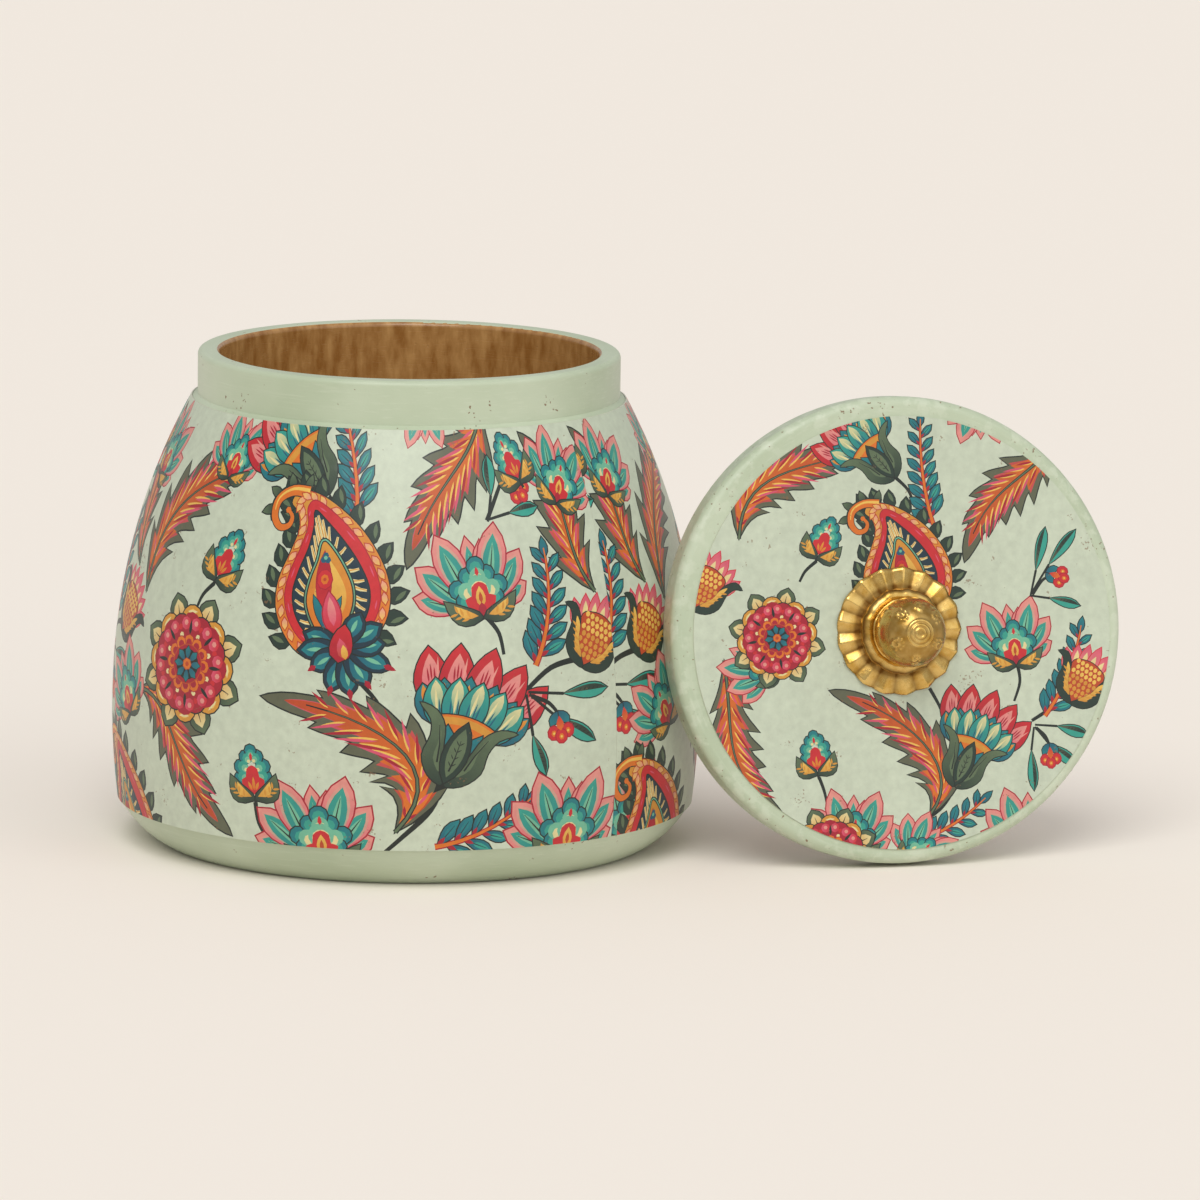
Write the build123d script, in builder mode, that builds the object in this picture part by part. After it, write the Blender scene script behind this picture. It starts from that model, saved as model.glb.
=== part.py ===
from build123d import *
import math
import os

# A turned wooden storage jar with a painted surface, a printed paper wrap and a loose lid.
# The lid stands on its edge beside the jar and leans on the jar's side.
# Origin: the centre of the jar's foot. +Z is up, and the jar is seen from -Y. Millimetres.

# Jar: the outside, as radii at heights above the foot
jar_height = 93.5
base_radius = 46.5
foot_radius = 54.4
foot_height = 7.8
foot_bulge_radius = 18.0
belly_radius = 55.5
belly_height = 24.0
waist_radius = 52.0
waist_height = 55.6
crown_radius = 46.4
crown_height = 73.0
shoulder_radius = 40.9
shoulder_height = 84.6
collar_radius = 40.0
collar_height = 8.3
rim_round = 1.0
base_round = 1.6

# Jar: the inside
rim_wall = 4.1
side_wall = 6.0
floor_thickness = 8.0
neck_depth = 12.0
floor_corner = 9.0

# Printed paper on the jar and on the lid
paper_thickness = 0.25
glue_thickness = 0.1
seam_gap = 0.3
seam_turn = 46.0
print_radius = 40.8
print_side_shift = 0.9
print_drop = 0.5

# Lid: a disc with a plug below it, a seal round the plug, and a knob through the middle
lid_radius = 44.0
lid_thickness = 7.0
lid_top_round = 1.7
lid_back_round = 0.8
plug_clearance = 1.1
plug_depth = 6.0
plug_round = 0.8
seal_height = 2.6
seal_groove_depth = 1.3
seal_clearance = 0.15
seal_standoff = 0.02

# Knob: a pleated sheet rose, a cup and a ringed ball on one screw
rose_radius = 12.1
rose_lip_drop = 0.5
rose_rise = 1.5
rose_pleats = 17
rose_sheet = 0.6
pleat_height = 0.7
cup_radius = 8.3
cup_height = 3.6
cup_foot_radius = 7.4
ball_radius = 6.6
ball_sink = 2.8
ring_radii = (2.6, 4.3)
ring_bead = 0.42
screw_radius = 2.0
screw_hole_clearance = 0.2
thread_clearance = 0.02
screw_reach = 5.5
screw_head_radius = 3.8
screw_head_height = 2.2
screw_slot_width = 1.0
screw_slot_depth = 1.0
washer_radius = 5.0
washer_thickness = 0.8
recess_radius = 6.0
recess_depth = 3.4

# Where the lid stands
lid_turn = 15.0
lid_lean = 8.0
lid_overlap = 7.0
rest_gap = 0.3

os.makedirs("parts", exist_ok=True)

mouth_radius = collar_radius - rim_wall
collar_foot = jar_height - collar_height


def side_points(offset):
    """Points of the jar's printed side, from the foot to the shoulder, moved out by offset."""
    return [
        (foot_radius + offset, foot_height),
        (belly_radius + offset, belly_height),
        (waist_radius + offset, waist_height),
        (crown_radius + offset, crown_height),
        (shoulder_radius + offset, shoulder_height),
    ]


# Jar body: the turned shell with its foot, side, shoulder, collar and hollow
with BuildPart() as jar_body:
    with BuildSketch(Plane.XZ) as jar_section:
        with BuildLine() as jar_outline:
            base = Line((0, 0), (base_radius, 0))
            foot = RadiusArc(base @ 1, (foot_radius, foot_height), -foot_bulge_radius)
            side = Spline(*side_points(0))
            shoulder = Line(side @ 1, (collar_radius, collar_foot))
            collar = Line(shoulder @ 1, (collar_radius, jar_height))
            rim = Line(collar @ 1, (mouth_radius, jar_height))
            neck = Line(rim @ 1, (mouth_radius, jar_height - neck_depth))
            hollow = Spline(
                neck @ 1,
                (crown_radius - side_wall, crown_height),
                (waist_radius - side_wall, waist_height),
                (belly_radius - side_wall, belly_height),
                (foot_radius - side_wall, floor_thickness + floor_corner),
            )
            corner = RadiusArc(
                hollow @ 1,
                (foot_radius - side_wall - floor_corner, floor_thickness),
                floor_corner,
            )
            floor = Line(corner @ 1, (0, floor_thickness))
            Line(floor @ 1, (0, 0))
        make_face()
        base_corner = jar_section.vertices().sort_by_distance((base_radius, 0))[0]
        fillet(base_corner, radius=base_round)
        rim_corners = jar_section.vertices().group_by(Axis.Y)[-1]
        fillet(rim_corners, radius=rim_round)
    revolve(axis=Axis.Z)
jar_body.part.label = "jar_body"

# Printed wrap: paper glued round the jar's side, with an open butt seam
with BuildPart() as body_print:
    with BuildSketch(Plane.XZ):
        with BuildLine():
            inner = Spline(*side_points(glue_thickness))
            outer = Spline(*side_points(glue_thickness + paper_thickness))
            Line(inner @ 0, outer @ 0)
            Line(inner @ 1, outer @ 1)
        make_face()
    revolve(axis=Axis.Z)
    seam_plane = Plane.XY.rotated((0, 0, seam_turn - 90))
    with BuildSketch(seam_plane):
        with Locations((belly_radius, 0)):
            Rectangle(2 * side_wall + belly_radius, seam_gap)
    extrude(amount=jar_height, mode=Mode.SUBTRACT)
body_print.part.label = "body_print"

# The lid's own directions: its face looks to the front, turned to the right and leaning back
turn = math.radians(lid_turn)
lean = math.radians(lid_lean)
lid_normal = Vector(
    math.sin(turn) * math.cos(lean), -math.cos(turn) * math.cos(lean), math.sin(lean)
)
lid_side = Vector(math.cos(turn), math.sin(turn), 0)
lid_x = belly_radius + lid_radius * math.cos(turn) - lid_overlap
lid_core_radius = lid_radius - lid_back_round
lid_stand = lid_core_radius * math.cos(lean) + lid_back_round * (1 - math.sin(lean))


def lid_centre(depth):
    """The middle of the lid's underside when the lid stands on the floor at this depth."""
    return Vector(lid_x, depth, lid_stand)


def lid_edge_gap(depth):
    """The gap between the jar's paper and the widest circle of the lid's back edge."""
    centre = lid_centre(depth) + lid_normal * lid_back_round
    edge = Edge.make_circle(lid_radius, Plane(centre, x_dir=lid_side, z_dir=lid_normal))
    return edge.distance_to(jar_body.part) - glue_thickness - paper_thickness


# The lid is moved back from clear of the jar until its edge is rest_gap away from the side
clear_depth = -2 * belly_radius
touch_depth = 0
for step in range(24):
    middle = (clear_depth + touch_depth) / 2
    if lid_edge_gap(middle) > rest_gap:
        clear_depth = middle
    else:
        touch_depth = middle
lid_origin = lid_centre(clear_depth)
lid_axis = Axis(lid_origin, lid_normal)
lid_section = Plane(lid_origin, x_dir=lid_side, z_dir=lid_side.cross(lid_normal))


def across_lid(height):
    """The plane square to the lid's axis at a height above the lid's underside."""
    return Plane(lid_origin + lid_normal * height, x_dir=lid_side, z_dir=lid_normal)


screw_hole_radius = screw_radius + screw_hole_clearance
plug_radius = mouth_radius - plug_clearance
seal_low = (seal_height - plug_depth) / 2 - seal_height
paper_top = lid_thickness + paper_thickness

# Lid disc: the turned board with a rounded edge
with BuildPart() as lid_disc:
    with BuildSketch(across_lid(0)):
        Circle(lid_radius)
        Circle(screw_hole_radius, mode=Mode.SUBTRACT)
    extrude(amount=lid_thickness)
    disc_faces = lid_disc.faces().filter_by(GeomType.PLANE).sort_by(lid_axis)
    fillet(disc_faces[-1].outer_wire().edges(), radius=lid_top_round)
    back_face = lid_disc.faces().filter_by(GeomType.PLANE).sort_by(lid_axis)[0]
    fillet(back_face.outer_wire().edges(), radius=lid_back_round)
lid_disc.part.label = "lid_disc"

# Lid plug: the smaller disc under the lid that drops into the mouth
with BuildPart() as lid_plug:
    with BuildSketch(across_lid(-plug_depth)):
        Circle(plug_radius)
        Circle(screw_hole_radius, mode=Mode.SUBTRACT)
    extrude(amount=plug_depth)
    low_face = lid_plug.faces().filter_by(GeomType.PLANE).sort_by(lid_axis)[0]
    fillet(low_face.outer_wire().edges(), radius=plug_round)
    with BuildSketch(across_lid(-plug_depth)):
        Circle(recess_radius)
    extrude(amount=recess_depth, mode=Mode.SUBTRACT)
    with BuildSketch(across_lid(seal_low)):
        Circle(plug_radius + plug_clearance)
        Circle(plug_radius - seal_groove_depth, mode=Mode.SUBTRACT)
    extrude(amount=seal_height, mode=Mode.SUBTRACT)
lid_plug.part.label = "lid_plug"

# Lid seal: a soft ring in the plug's groove, with a rounded lip towards the mouth's wall
seal_inner = plug_radius - seal_groove_depth + seal_standoff
seal_outer = mouth_radius - seal_clearance
seal_foot = plug_radius - seal_groove_depth / 3
seal_middle = seal_low + seal_height / 2
with BuildPart() as lid_seal:
    with BuildSketch(lid_section):
        with BuildLine():
            seal_end = seal_height / 2 - seal_standoff
            back = Line((seal_inner, seal_middle - seal_end), (seal_inner, seal_middle + seal_end))
            top = Line(back @ 1, (seal_foot, seal_middle + seal_end))
            lip = ThreePointArc(
                top @ 1, (seal_outer, seal_middle), (seal_foot, seal_middle - seal_end)
            )
            Line(lip @ 1, back @ 0)
        make_face()
    revolve(axis=lid_axis)
lid_seal.part.label = "lid_seal"

# Lid print: the paper disc on the lid, a little off centre as a hand laid it
with BuildPart() as lid_print:
    with BuildSketch(across_lid(lid_thickness)):
        with Locations((print_side_shift, -print_drop)):
            Circle(print_radius)
        Circle(screw_hole_radius, mode=Mode.SUBTRACT)
    extrude(amount=paper_thickness)
lid_print.part.label = "lid_print"

# Knob rose: thin sheet pleated round its edge, standing on the print
rose_top = paper_top + rose_rise
with BuildPart() as knob_rose:
    with BuildSketch(lid_section):
        with BuildLine():
            Polyline(
                (screw_hole_radius, rose_top - rose_sheet),
                (screw_hole_radius, rose_top),
                (cup_foot_radius, rose_top),
                (rose_radius - rose_sheet, paper_top + rose_lip_drop + rose_sheet),
                (rose_radius - rose_sheet, paper_top),
                (rose_radius - 2 * rose_sheet, paper_top),
                (cup_foot_radius, rose_top - rose_sheet),
                close=True,
            )
        make_face()
    revolve(axis=lid_axis)
    with BuildSketch(across_lid(paper_top)) as pleats:
        with PolarLocations((cup_foot_radius + rose_radius) / 2, rose_pleats):
            Rectangle(rose_radius - cup_foot_radius, 2 * rose_sheet)
    extrude(amount=rose_lip_drop + pleat_height)
    rose_floor = (cup_foot_radius + rose_radius) / 2
    with BuildSketch(across_lid(paper_top)):
        Circle(rose_floor)
        Circle(screw_hole_radius, mode=Mode.SUBTRACT)
    extrude(amount=rose_rise - rose_sheet, mode=Mode.SUBTRACT)
knob_rose.part.label = "knob_rose"

# Knob cup: the rolled ring that the ball sits in
cup_top = rose_top + cup_height
with BuildPart() as knob_cup:
    with BuildSketch(lid_section):
        with BuildLine():
            cup_floor = Line((screw_hole_radius, rose_top), (cup_foot_radius, rose_top))
            cup_bulge = ThreePointArc(
                cup_floor @ 1,
                (cup_radius, rose_top + cup_height / 2),
                (cup_foot_radius - rose_sheet, cup_top),
            )
            cup_dish = Line(cup_bulge @ 1, (screw_hole_radius, rose_top + cup_height / 2))
            Line(cup_dish @ 1, cup_floor @ 0)
        make_face()
    revolve(axis=lid_axis)
    ball_centre = cup_top + ball_radius - ball_sink
    with BuildSketch(lid_section):
        with BuildLine():
            half_ball = CenterArc((0, ball_centre), ball_radius, -90, 180)
            Line(half_ball @ 0, half_ball @ 1)
        make_face()
    revolve(axis=lid_axis, mode=Mode.SUBTRACT)
knob_cup.part.label = "knob_cup"

# Knob ball: the grip, with a stem through the cup and raised rings on its crown
with BuildPart() as knob_ball:
    with BuildSketch(lid_section):
        with BuildLine():
            half_ball = CenterArc((0, ball_centre), ball_radius, -90, 180)
            Line(half_ball @ 0, half_ball @ 1)
        make_face()
    revolve(axis=lid_axis)
    with BuildSketch(lid_section):
        for ring_radius in ring_radii:
            ring_height = ball_centre + math.sqrt(ball_radius**2 - ring_radius**2)
            with Locations((ring_radius, ring_height)):
                Circle(ring_bead)
    revolve(axis=lid_axis)
    with BuildSketch(across_lid(ball_centre - ball_radius)):
        Circle(screw_radius + thread_clearance)
    extrude(amount=ball_radius, mode=Mode.SUBTRACT)
knob_ball.part.label = "knob_ball"

# Screw and washer: they come up through the plug and hold the knob down
washer_low = recess_depth - plug_depth - washer_thickness
with BuildPart() as screw_washer:
    with BuildSketch(across_lid(washer_low)):
        Circle(washer_radius)
        Circle(screw_hole_radius, mode=Mode.SUBTRACT)
    extrude(amount=washer_thickness)
screw_washer.part.label = "screw_washer"

with BuildPart() as knob_screw:
    with BuildSketch(across_lid(washer_low - screw_head_height)):
        Circle(screw_head_radius)
    extrude(amount=screw_head_height)
    head_face = knob_screw.faces().filter_by(GeomType.PLANE).sort_by(lid_axis)[0]
    fillet(head_face.edges(), radius=screw_head_height / 3)
    with BuildSketch(across_lid(washer_low)):
        Circle(screw_radius)
    extrude(amount=ball_centre - ball_radius + screw_reach - washer_low)
    with BuildSketch(across_lid(washer_low - screw_head_height)):
        Rectangle(3 * screw_head_radius, screw_slot_width)
    extrude(amount=screw_slot_depth, mode=Mode.SUBTRACT)
knob_screw.part.label = "knob_screw"

for piece in (
    jar_body, body_print, lid_disc, lid_plug, lid_seal, lid_print,
    knob_rose, knob_cup, knob_ball, screw_washer, knob_screw,
):
    export_step(piece.part, f"parts/{piece.part.label}.step")
print("lid stands at", lid_origin, "facing", lid_normal)
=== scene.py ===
# %% [markdown]
# # A papered storage jar with its lid leaning beside it
# The real object is a turned wooden jar, painted pale green, with a printed paper glued round its
# side and over its lid, and a brass knob. The construction arrives as a fixed frame of solids.
# This lesson gives that frame its surfaces: the paint, the two printed papers and the brass.

# %% The frame
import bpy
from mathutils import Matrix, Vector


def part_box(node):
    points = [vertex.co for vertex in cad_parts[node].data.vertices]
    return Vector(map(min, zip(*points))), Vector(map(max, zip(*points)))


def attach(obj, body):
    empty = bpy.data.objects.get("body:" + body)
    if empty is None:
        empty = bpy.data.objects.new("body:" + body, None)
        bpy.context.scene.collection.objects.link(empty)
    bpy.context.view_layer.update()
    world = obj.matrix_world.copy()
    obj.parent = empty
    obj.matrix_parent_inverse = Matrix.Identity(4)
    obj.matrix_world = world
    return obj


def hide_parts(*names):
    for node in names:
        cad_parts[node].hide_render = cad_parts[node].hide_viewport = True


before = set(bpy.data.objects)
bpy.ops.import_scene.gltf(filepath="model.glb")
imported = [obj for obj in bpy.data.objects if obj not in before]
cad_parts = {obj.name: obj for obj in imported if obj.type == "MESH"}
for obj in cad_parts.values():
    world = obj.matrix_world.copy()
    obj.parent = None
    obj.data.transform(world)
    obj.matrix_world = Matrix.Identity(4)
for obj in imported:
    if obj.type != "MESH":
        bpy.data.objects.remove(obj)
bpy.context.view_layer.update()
print("frame:", sorted(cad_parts))

# %% [markdown]
# ## Tools
# Shapes are made with bmesh, colours with node materials. Python's complex numbers stand for
# points on a flat sheet, and numpy sorts out which printed shape lies on top.

# %% Tools used below
import cmath
import math
import bmesh
import bpy
import numpy
from mathutils import Matrix, Vector
from mathutils.bvhtree import BVHTree
from mathutils.geometry import delaunay_2d_cdt

MM = 0.001


def clamp(value, low=0, high=1):
    """The value, kept between low and high."""
    return min(max(value, low), high)


print("lengths are in metres; one mm is", MM)

# %% [markdown]
# ## The camera
# The photograph was taken with a long lens from ten degrees above the table, so the ellipses of
# the rim and of the foot are equally flat. One pixel of its 1200 covers 0.19 mm at the jar. A
# camera that looks along -Z is tipped up by 80 degrees, rolled a little, and moved back.

# %% Camera
PHOTO_PIXELS = 1200
MM_PER_PIXEL = 0.19
CAMERA_RISE = math.radians(10)
CAMERA_ROLL = math.radians(0.8)
CAMERA_LENS = 300
SENSOR = 36
view_centre = Vector((36.7, 0, 45.9)) * MM
view_distance = CAMERA_LENS / SENSOR * PHOTO_PIXELS * MM_PER_PIXEL * MM

camera_data = bpy.data.cameras.new("photo_camera")
camera_data.lens = CAMERA_LENS
camera_data.sensor_width = SENSOR
camera_data.clip_start = 0.01
camera_data.clip_end = 50
camera = bpy.data.objects.new("photo_camera", camera_data)
bpy.context.collection.objects.link(camera)
camera_tip = Matrix.Rotation(math.pi / 2 - CAMERA_RISE, 4, "X")
camera_turn = camera_tip @ Matrix.Rotation(CAMERA_ROLL, 4, "Z")
back_along_view = Vector((0, -math.cos(CAMERA_RISE), math.sin(CAMERA_RISE)))
camera.matrix_world = Matrix.Translation(view_centre + back_along_view * view_distance) @ camera_turn
bpy.context.scene.camera = camera
print("camera", round(view_distance, 3), "m away")

# %% [markdown]
# ## Shader arithmetic
# Node trees are long to write by hand. A small class wraps a socket, so that an expression such
# as 1 - mask * 0.5 adds its own Math nodes, and one method adds any other node.

# %% Shader helpers
NOISE_ROUGHNESS = 0.55


class Wire:
    """A node's output that can be used in a Python expression."""

    def __init__(self, finish, socket):
        self.finish = finish
        self.socket = socket

    def maths(self, operation, *others):
        return self.finish.node("ShaderNodeMath", {"operation": operation}, *others)

    def __add__(self, other):
        return self.maths("ADD", self, other)

    __radd__ = __add__

    def __mul__(self, other):
        return self.maths("MULTIPLY", self, other)

    __rmul__ = __mul__

    def __sub__(self, other):
        return self.maths("SUBTRACT", self, other)

    def __rsub__(self, other):
        return self.maths("SUBTRACT", other, self)

    def __gt__(self, other):
        return self.maths("GREATER_THAN", self, other)

    def __lt__(self, other):
        return self.maths("LESS_THAN", self, other)


class Finish:
    """A material while its nodes are put together."""

    def __init__(self, name):
        self.material = bpy.data.materials.new(name)
        self.material.use_nodes = True
        self.tree = self.material.node_tree
        self.tree.nodes.clear()

    def node(self, kind, settings=None, *inputs, output=0, **named):
        """Adds a node; inputs go in by place or by name, as numbers or as wires."""
        made = self.tree.nodes.new(kind)
        for name, value in (settings or {}).items():
            if name == "stops":
                set_stops(made.color_ramp, value)
            else:
                setattr(made, name, value)
        places = list(enumerate(inputs)) + [(name.replace("_", " "), v) for name, v in named.items()]
        for place, value in places:
            if isinstance(value, Wire):
                self.tree.links.new(value.socket, made.inputs[place])
            elif value is not None:
                made.inputs[place].default_value = value
        return Wire(self, made.outputs[output])

    def place(self):
        return self.node("ShaderNodeTexCoord", output="Object")

    def noise(self, place, scale, detail):
        """Soft random mottling, with scale lumps to the metre."""
        return self.node(
            "ShaderNodeTexNoise", None,
            Vector=place, Scale=scale, Detail=detail, Roughness=NOISE_ROUGHNESS,
        )

    def ramp(self, value, *stops):
        """A value or colour read off a scale of (position, value) stops."""
        return self.node("ShaderNodeValToRGB", {"stops": stops}, value)

    def mix(self, factor, first, second, blend="MIX"):
        """The first colour where factor is 0, the second where it is 1."""
        settings = {"data_type": "RGBA", "blend_type": blend}
        made = self.node("ShaderNodeMix", settings, factor, output=2)
        sockets = made.socket.node.inputs
        for socket, value in ((sockets[6], first), (sockets[7], second)):
            if isinstance(value, Wire):
                self.tree.links.new(value.socket, socket)
            else:
                socket.default_value = value
        return made

    def bump(self, height, distance):
        """A surface normal that follows a height, for relief as deep as distance."""
        return self.node("ShaderNodeBump", None, Height=height, Distance=distance)

    def surface(self, **sockets):
        """Ends the tree with the surface itself, and gives the material."""
        shader = self.node("ShaderNodeBsdfPrincipled", None, **sockets)
        out = self.tree.nodes.new("ShaderNodeOutputMaterial")
        self.tree.links.new(shader.socket, out.inputs["Surface"])
        return self.material


def set_stops(ramp, stops):
    """Gives a colour ramp its stops, as (position, colour or grey) pairs."""
    while len(ramp.elements) < len(stops):
        ramp.elements.new(0.5)
    for element, (position, value) in zip(ramp.elements, stops):
        element.position = position
        element.color = value if isinstance(value, tuple) else (value, value, value, 1)


def hue(code):
    """A linear colour from the six hex digits of a screen colour."""
    parts = [int(code[i:i + 2], 16) / 255 for i in (0, 2, 4)]
    linear = [part / 12.92 if part <= 0.04045 else ((part + 0.055) / 1.055) ** 2.4 for part in parts]
    return (*linear, 1.0)


print("middle grey is", [round(channel, 3) for channel in hue("808080")])

# %% [markdown]
# ## The studio
# The jar stands on a pale seamless floor. Seen from ten degrees above through a long lens, that
# floor fills the whole frame, so no wall is needed. Two broad soft suns and an even sky light the
# object at a level where a colour comes out about as it is written.

# %% Floor and lights
FLOOR_COLOUR = hue("F8F0E7")
FLOOR_SIDE = 8.0
FLOOR_DROP = 0.05 * MM
FLOOR_ROUGHNESS = 0.9
SKY_COLOUR = (1, 0.99, 0.975, 1)
SKY_STRENGTH = 0.52

floor_shape = bmesh.new()
bmesh.ops.create_grid(floor_shape, x_segments=1, y_segments=1, size=FLOOR_SIDE)
bmesh.ops.translate(floor_shape, verts=floor_shape.verts, vec=(0, 0, -FLOOR_DROP))
floor_mesh = bpy.data.meshes.new("studio_floor")
floor_shape.to_mesh(floor_mesh)
floor_shape.free()
studio_floor = bpy.data.objects.new("studio_floor", floor_mesh)
bpy.context.collection.objects.link(studio_floor)
floor_finish = Finish("studio_floor")
floor_paint = floor_finish.surface(Base_Color=FLOOR_COLOUR, Roughness=FLOOR_ROUGHNESS)
studio_floor.data.materials.append(floor_paint)


def add_sun(name, strength, spread, turn, rise, colour):
    """A soft sun that shines from the side that turn and rise name, in degrees."""
    lamp = bpy.data.lights.new(name, "SUN")
    lamp.energy = strength
    lamp.angle = math.radians(spread)
    lamp.color = colour
    sun = bpy.data.objects.new(name, lamp)
    bpy.context.collection.objects.link(sun)
    lowered = Matrix.Rotation(math.radians(90 - rise), 4, "X")
    sun.matrix_world = Matrix.Rotation(math.radians(turn), 4, "Z") @ lowered


add_sun("key_light", strength=1.4, spread=38, turn=-10, rise=50, colour=(1, 0.985, 0.96))
add_sun("fill_light", strength=0.5, spread=60, turn=38, rise=35, colour=(0.98, 0.99, 1))

world = bpy.data.worlds.new("soft_room")
world.use_nodes = True
sky = world.node_tree.nodes["Background"]
sky.inputs["Color"].default_value = SKY_COLOUR
sky.inputs["Strength"].default_value = SKY_STRENGTH
bpy.context.scene.world = world
bpy.context.scene.view_settings.view_transform = "Standard"

# %% [markdown]
# ## Where the lid is
# The lid stands on its edge, turned a little to the right and leaning back. Its own directions
# are worked out from those two angles, and its places are read from the frame's boxes, because
# the middle of a tilted disc's box is the middle of the disc.

# %% The lid's directions
LID_TURN = math.radians(15)
LID_LEAN = math.radians(8)
lid_normal = Vector((
    math.sin(LID_TURN) * math.cos(LID_LEAN),
    -math.cos(LID_TURN) * math.cos(LID_LEAN),
    math.sin(LID_LEAN),
))
lid_side = Vector((math.cos(LID_TURN), math.sin(LID_TURN), 0))
lid_up = lid_normal.cross(lid_side)
lid_turned = Matrix((lid_side, lid_up, lid_normal)).transposed()


def middle_of(node):
    """The middle of a node's box."""
    low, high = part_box(node)
    return (Vector(low) + Vector(high)) / 2


def points_of(node):
    """The places in the room of a node's points."""
    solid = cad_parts[node]
    return [solid.matrix_world @ vert.co for vert in solid.data.vertices]


lid_axis_point = middle_of("lid_disc")


def reach_of(node):
    """A node's lowest and highest places along the lid's axis, in metres."""
    places = [(point - lid_axis_point).dot(lid_normal) for point in points_of(node)]
    return min(places), max(places)


def half_width(node, middle):
    """How far a round node on the lid reaches from its middle, in mm."""
    return max((point - middle).dot(lid_side) for point in points_of(node)) / MM


print("lid middle", [round(v, 4) for v in lid_axis_point])

# %% [markdown]
# ## Painted wood
# Pale green paint was brushed on while the piece turned, so its faint streaks run round it. It
# has small brown chips and dust specks, and on the lid's edge the paint is rubbed paler, in
# blotches that also paint a highlight along that edge. One function gives this finish, and
# takes the way round which the piece was turned.

# %% Painted wood
PAINT = hue("C0CBB2")
PAINT_DEEP = hue("AFBCA0")
# Paler paint for brush streaks and rubbed edges, and for the painted highlight on the lid's edge.
PAINT_WORN_AND_HIGHLIGHT = hue("D5DCC8")
CHIP = hue("7A5A3C")
LACQUER = hue("C2945A")
LACQUER_DEEP = hue("96652F")


def wood_tone(finish, grain):
    """Clear lacquered wood, darker along its grain."""
    return finish.mix(finish.ramp(grain, (0.35, 0.0), (0.7, 1.0)), LACQUER_DEEP, LACQUER)


def painted(name, centre, turn, inside_stops=None, arris=None):
    """Brushed paint on a piece turned about its own Z axis.

    inside_stops gives the radius inside which the wood is only lacquered; arris gives the two
    radii between which the paint is rubbed paler, which also paints a highlight on that edge.
    """
    finish = Finish(name)
    place = finish.node(
        "ShaderNodeMapping",
        {"vector_type": "TEXTURE"},
        Vector=finish.place(),
        Location=centre,
        Rotation=turn.to_euler(),
    )
    parts = finish.node("ShaderNodeSeparateXYZ", None, place).socket.node
    across, along, height = (Wire(finish, socket) for socket in parts.outputs)
    radius = finish.node("ShaderNodeMath", {"operation": "SQRT"}, across * across + along * along)
    turned = finish.node("ShaderNodeCombineXYZ", None, radius * 9, across + along, height * 9)
    brush = finish.noise(turned, 260, 4)
    cloud = finish.noise(place, 38, 3)
    tone = finish.mix(finish.ramp(cloud, (0.35, 0.0), (0.68, 1.0)), PAINT_DEEP, PAINT)
    tone = finish.mix(finish.ramp(brush, (0.55, 0.0), (0.8, 0.32)), tone, PAINT_WORN_AND_HIGHLIGHT)
    chips = finish.noise(place, 1300, 1) * finish.noise(place, 150, 2)
    chipped = finish.ramp(chips, (0.445, 0.0), (0.465, 1.0))
    if arris is not None:
        near, far = arris
        rub = finish.noise(place, 420, 3)
        edge = finish.ramp(radius, (near, 0.0), (far, 1.0))
        # Rubbed paler blotches along the lid's edge, which also paint a highlight there.
        tone = finish.mix(edge * finish.ramp(rub, (0.5, 0.0), (0.62, 0.42)), tone, PAINT_WORN_AND_HIGHLIGHT)
        worn = edge * finish.ramp(finish.noise(place, 900, 2), (0.68, 0.0), (0.72, 1.0))
        chipped = finish.node("ShaderNodeMath", {"operation": "MAXIMUM"}, chipped, worn)
    tone = finish.mix(chipped * 0.85, tone, CHIP)
    rough = 0.5 - brush * 0.12
    dent = brush * 0.35 + finish.noise(place, 1400, 2) * 0.25 - chipped * 0.8
    if inside_stops is not None:
        wall = finish.ramp(height * WALL_SCALE, *inside_stops) * (1 / WALL_SCALE)
        inside = radius < wall
        stretched = finish.node("ShaderNodeCombineXYZ", None, across * 3, along * 3, height)
        tone = finish.mix(inside, tone, wood_tone(finish, finish.noise(stretched, 160, 5)))
        rough = rough - inside * 0.18
    return finish.surface(
        Base_Color=tone,
        Roughness=rough,
        Normal=finish.bump(dent, 0.00005),
        Coat_Weight=0.12,
        Coat_Roughness=0.3,
    )


# %% [markdown]
# ## Where the paint stops
# The jar is painted outside and over its rim, and only lacquered inside. A colour ramp can hold
# the radius of the wall's middle at each height, if both are given in tenths of a metre, because
# a ramp runs from 0 to 1. Anything nearer to the axis than that radius is inside.

# %% Jar and lid paint
WALL_SCALE = 10
WALL_STOPS = ((0.0, 0.0), (0.078, 0.0), (0.08, 0.5), (0.24, 0.525), (0.556, 0.49),
              (0.73, 0.434), (0.8, 0.37), (0.85, 0.364), (1.0, 0.364))
LID_ARRIS = (0.0405, 0.0432)
UPRIGHT = Matrix.Identity(3)
JAR_CENTRE = (0, 0, 0)
jar_paint = painted("jar_paint", JAR_CENTRE, UPRIGHT, inside_stops=WALL_STOPS)
lid_paint = painted("lid_paint", lid_axis_point, lid_turned, arris=LID_ARRIS)
print("paint:", jar_paint.name, lid_paint.name)

# %% [markdown]
# ## Finishes for what shows less
# The plug under the lid and the inside of the jar are clear lacquered wood. The seal is soft
# milky rubber, and the screw and its washer are zinc plated.

# %% Lacquer, rubber, steel
GRAIN_STRETCH = (1, 1, 6)
SPECKLE_SCALE = 600
SPECKLE_SHADE = 0.82


def lacquered_wood():
    """Lacquered wood whose grain runs across the plug."""
    finish = Finish("lacquered_wood")
    stretched = finish.node(
        "ShaderNodeVectorMath", {"operation": "MULTIPLY"}, finish.place(), GRAIN_STRETCH
    )
    grain = finish.noise(stretched, 120, 5)
    return finish.surface(
        Base_Color=wood_tone(finish, grain),
        Roughness=0.34 - grain * 0.08,
        Normal=finish.bump(grain, 0.00003),
        Coat_Weight=0.3,
        Coat_Roughness=0.2,
    )


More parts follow.
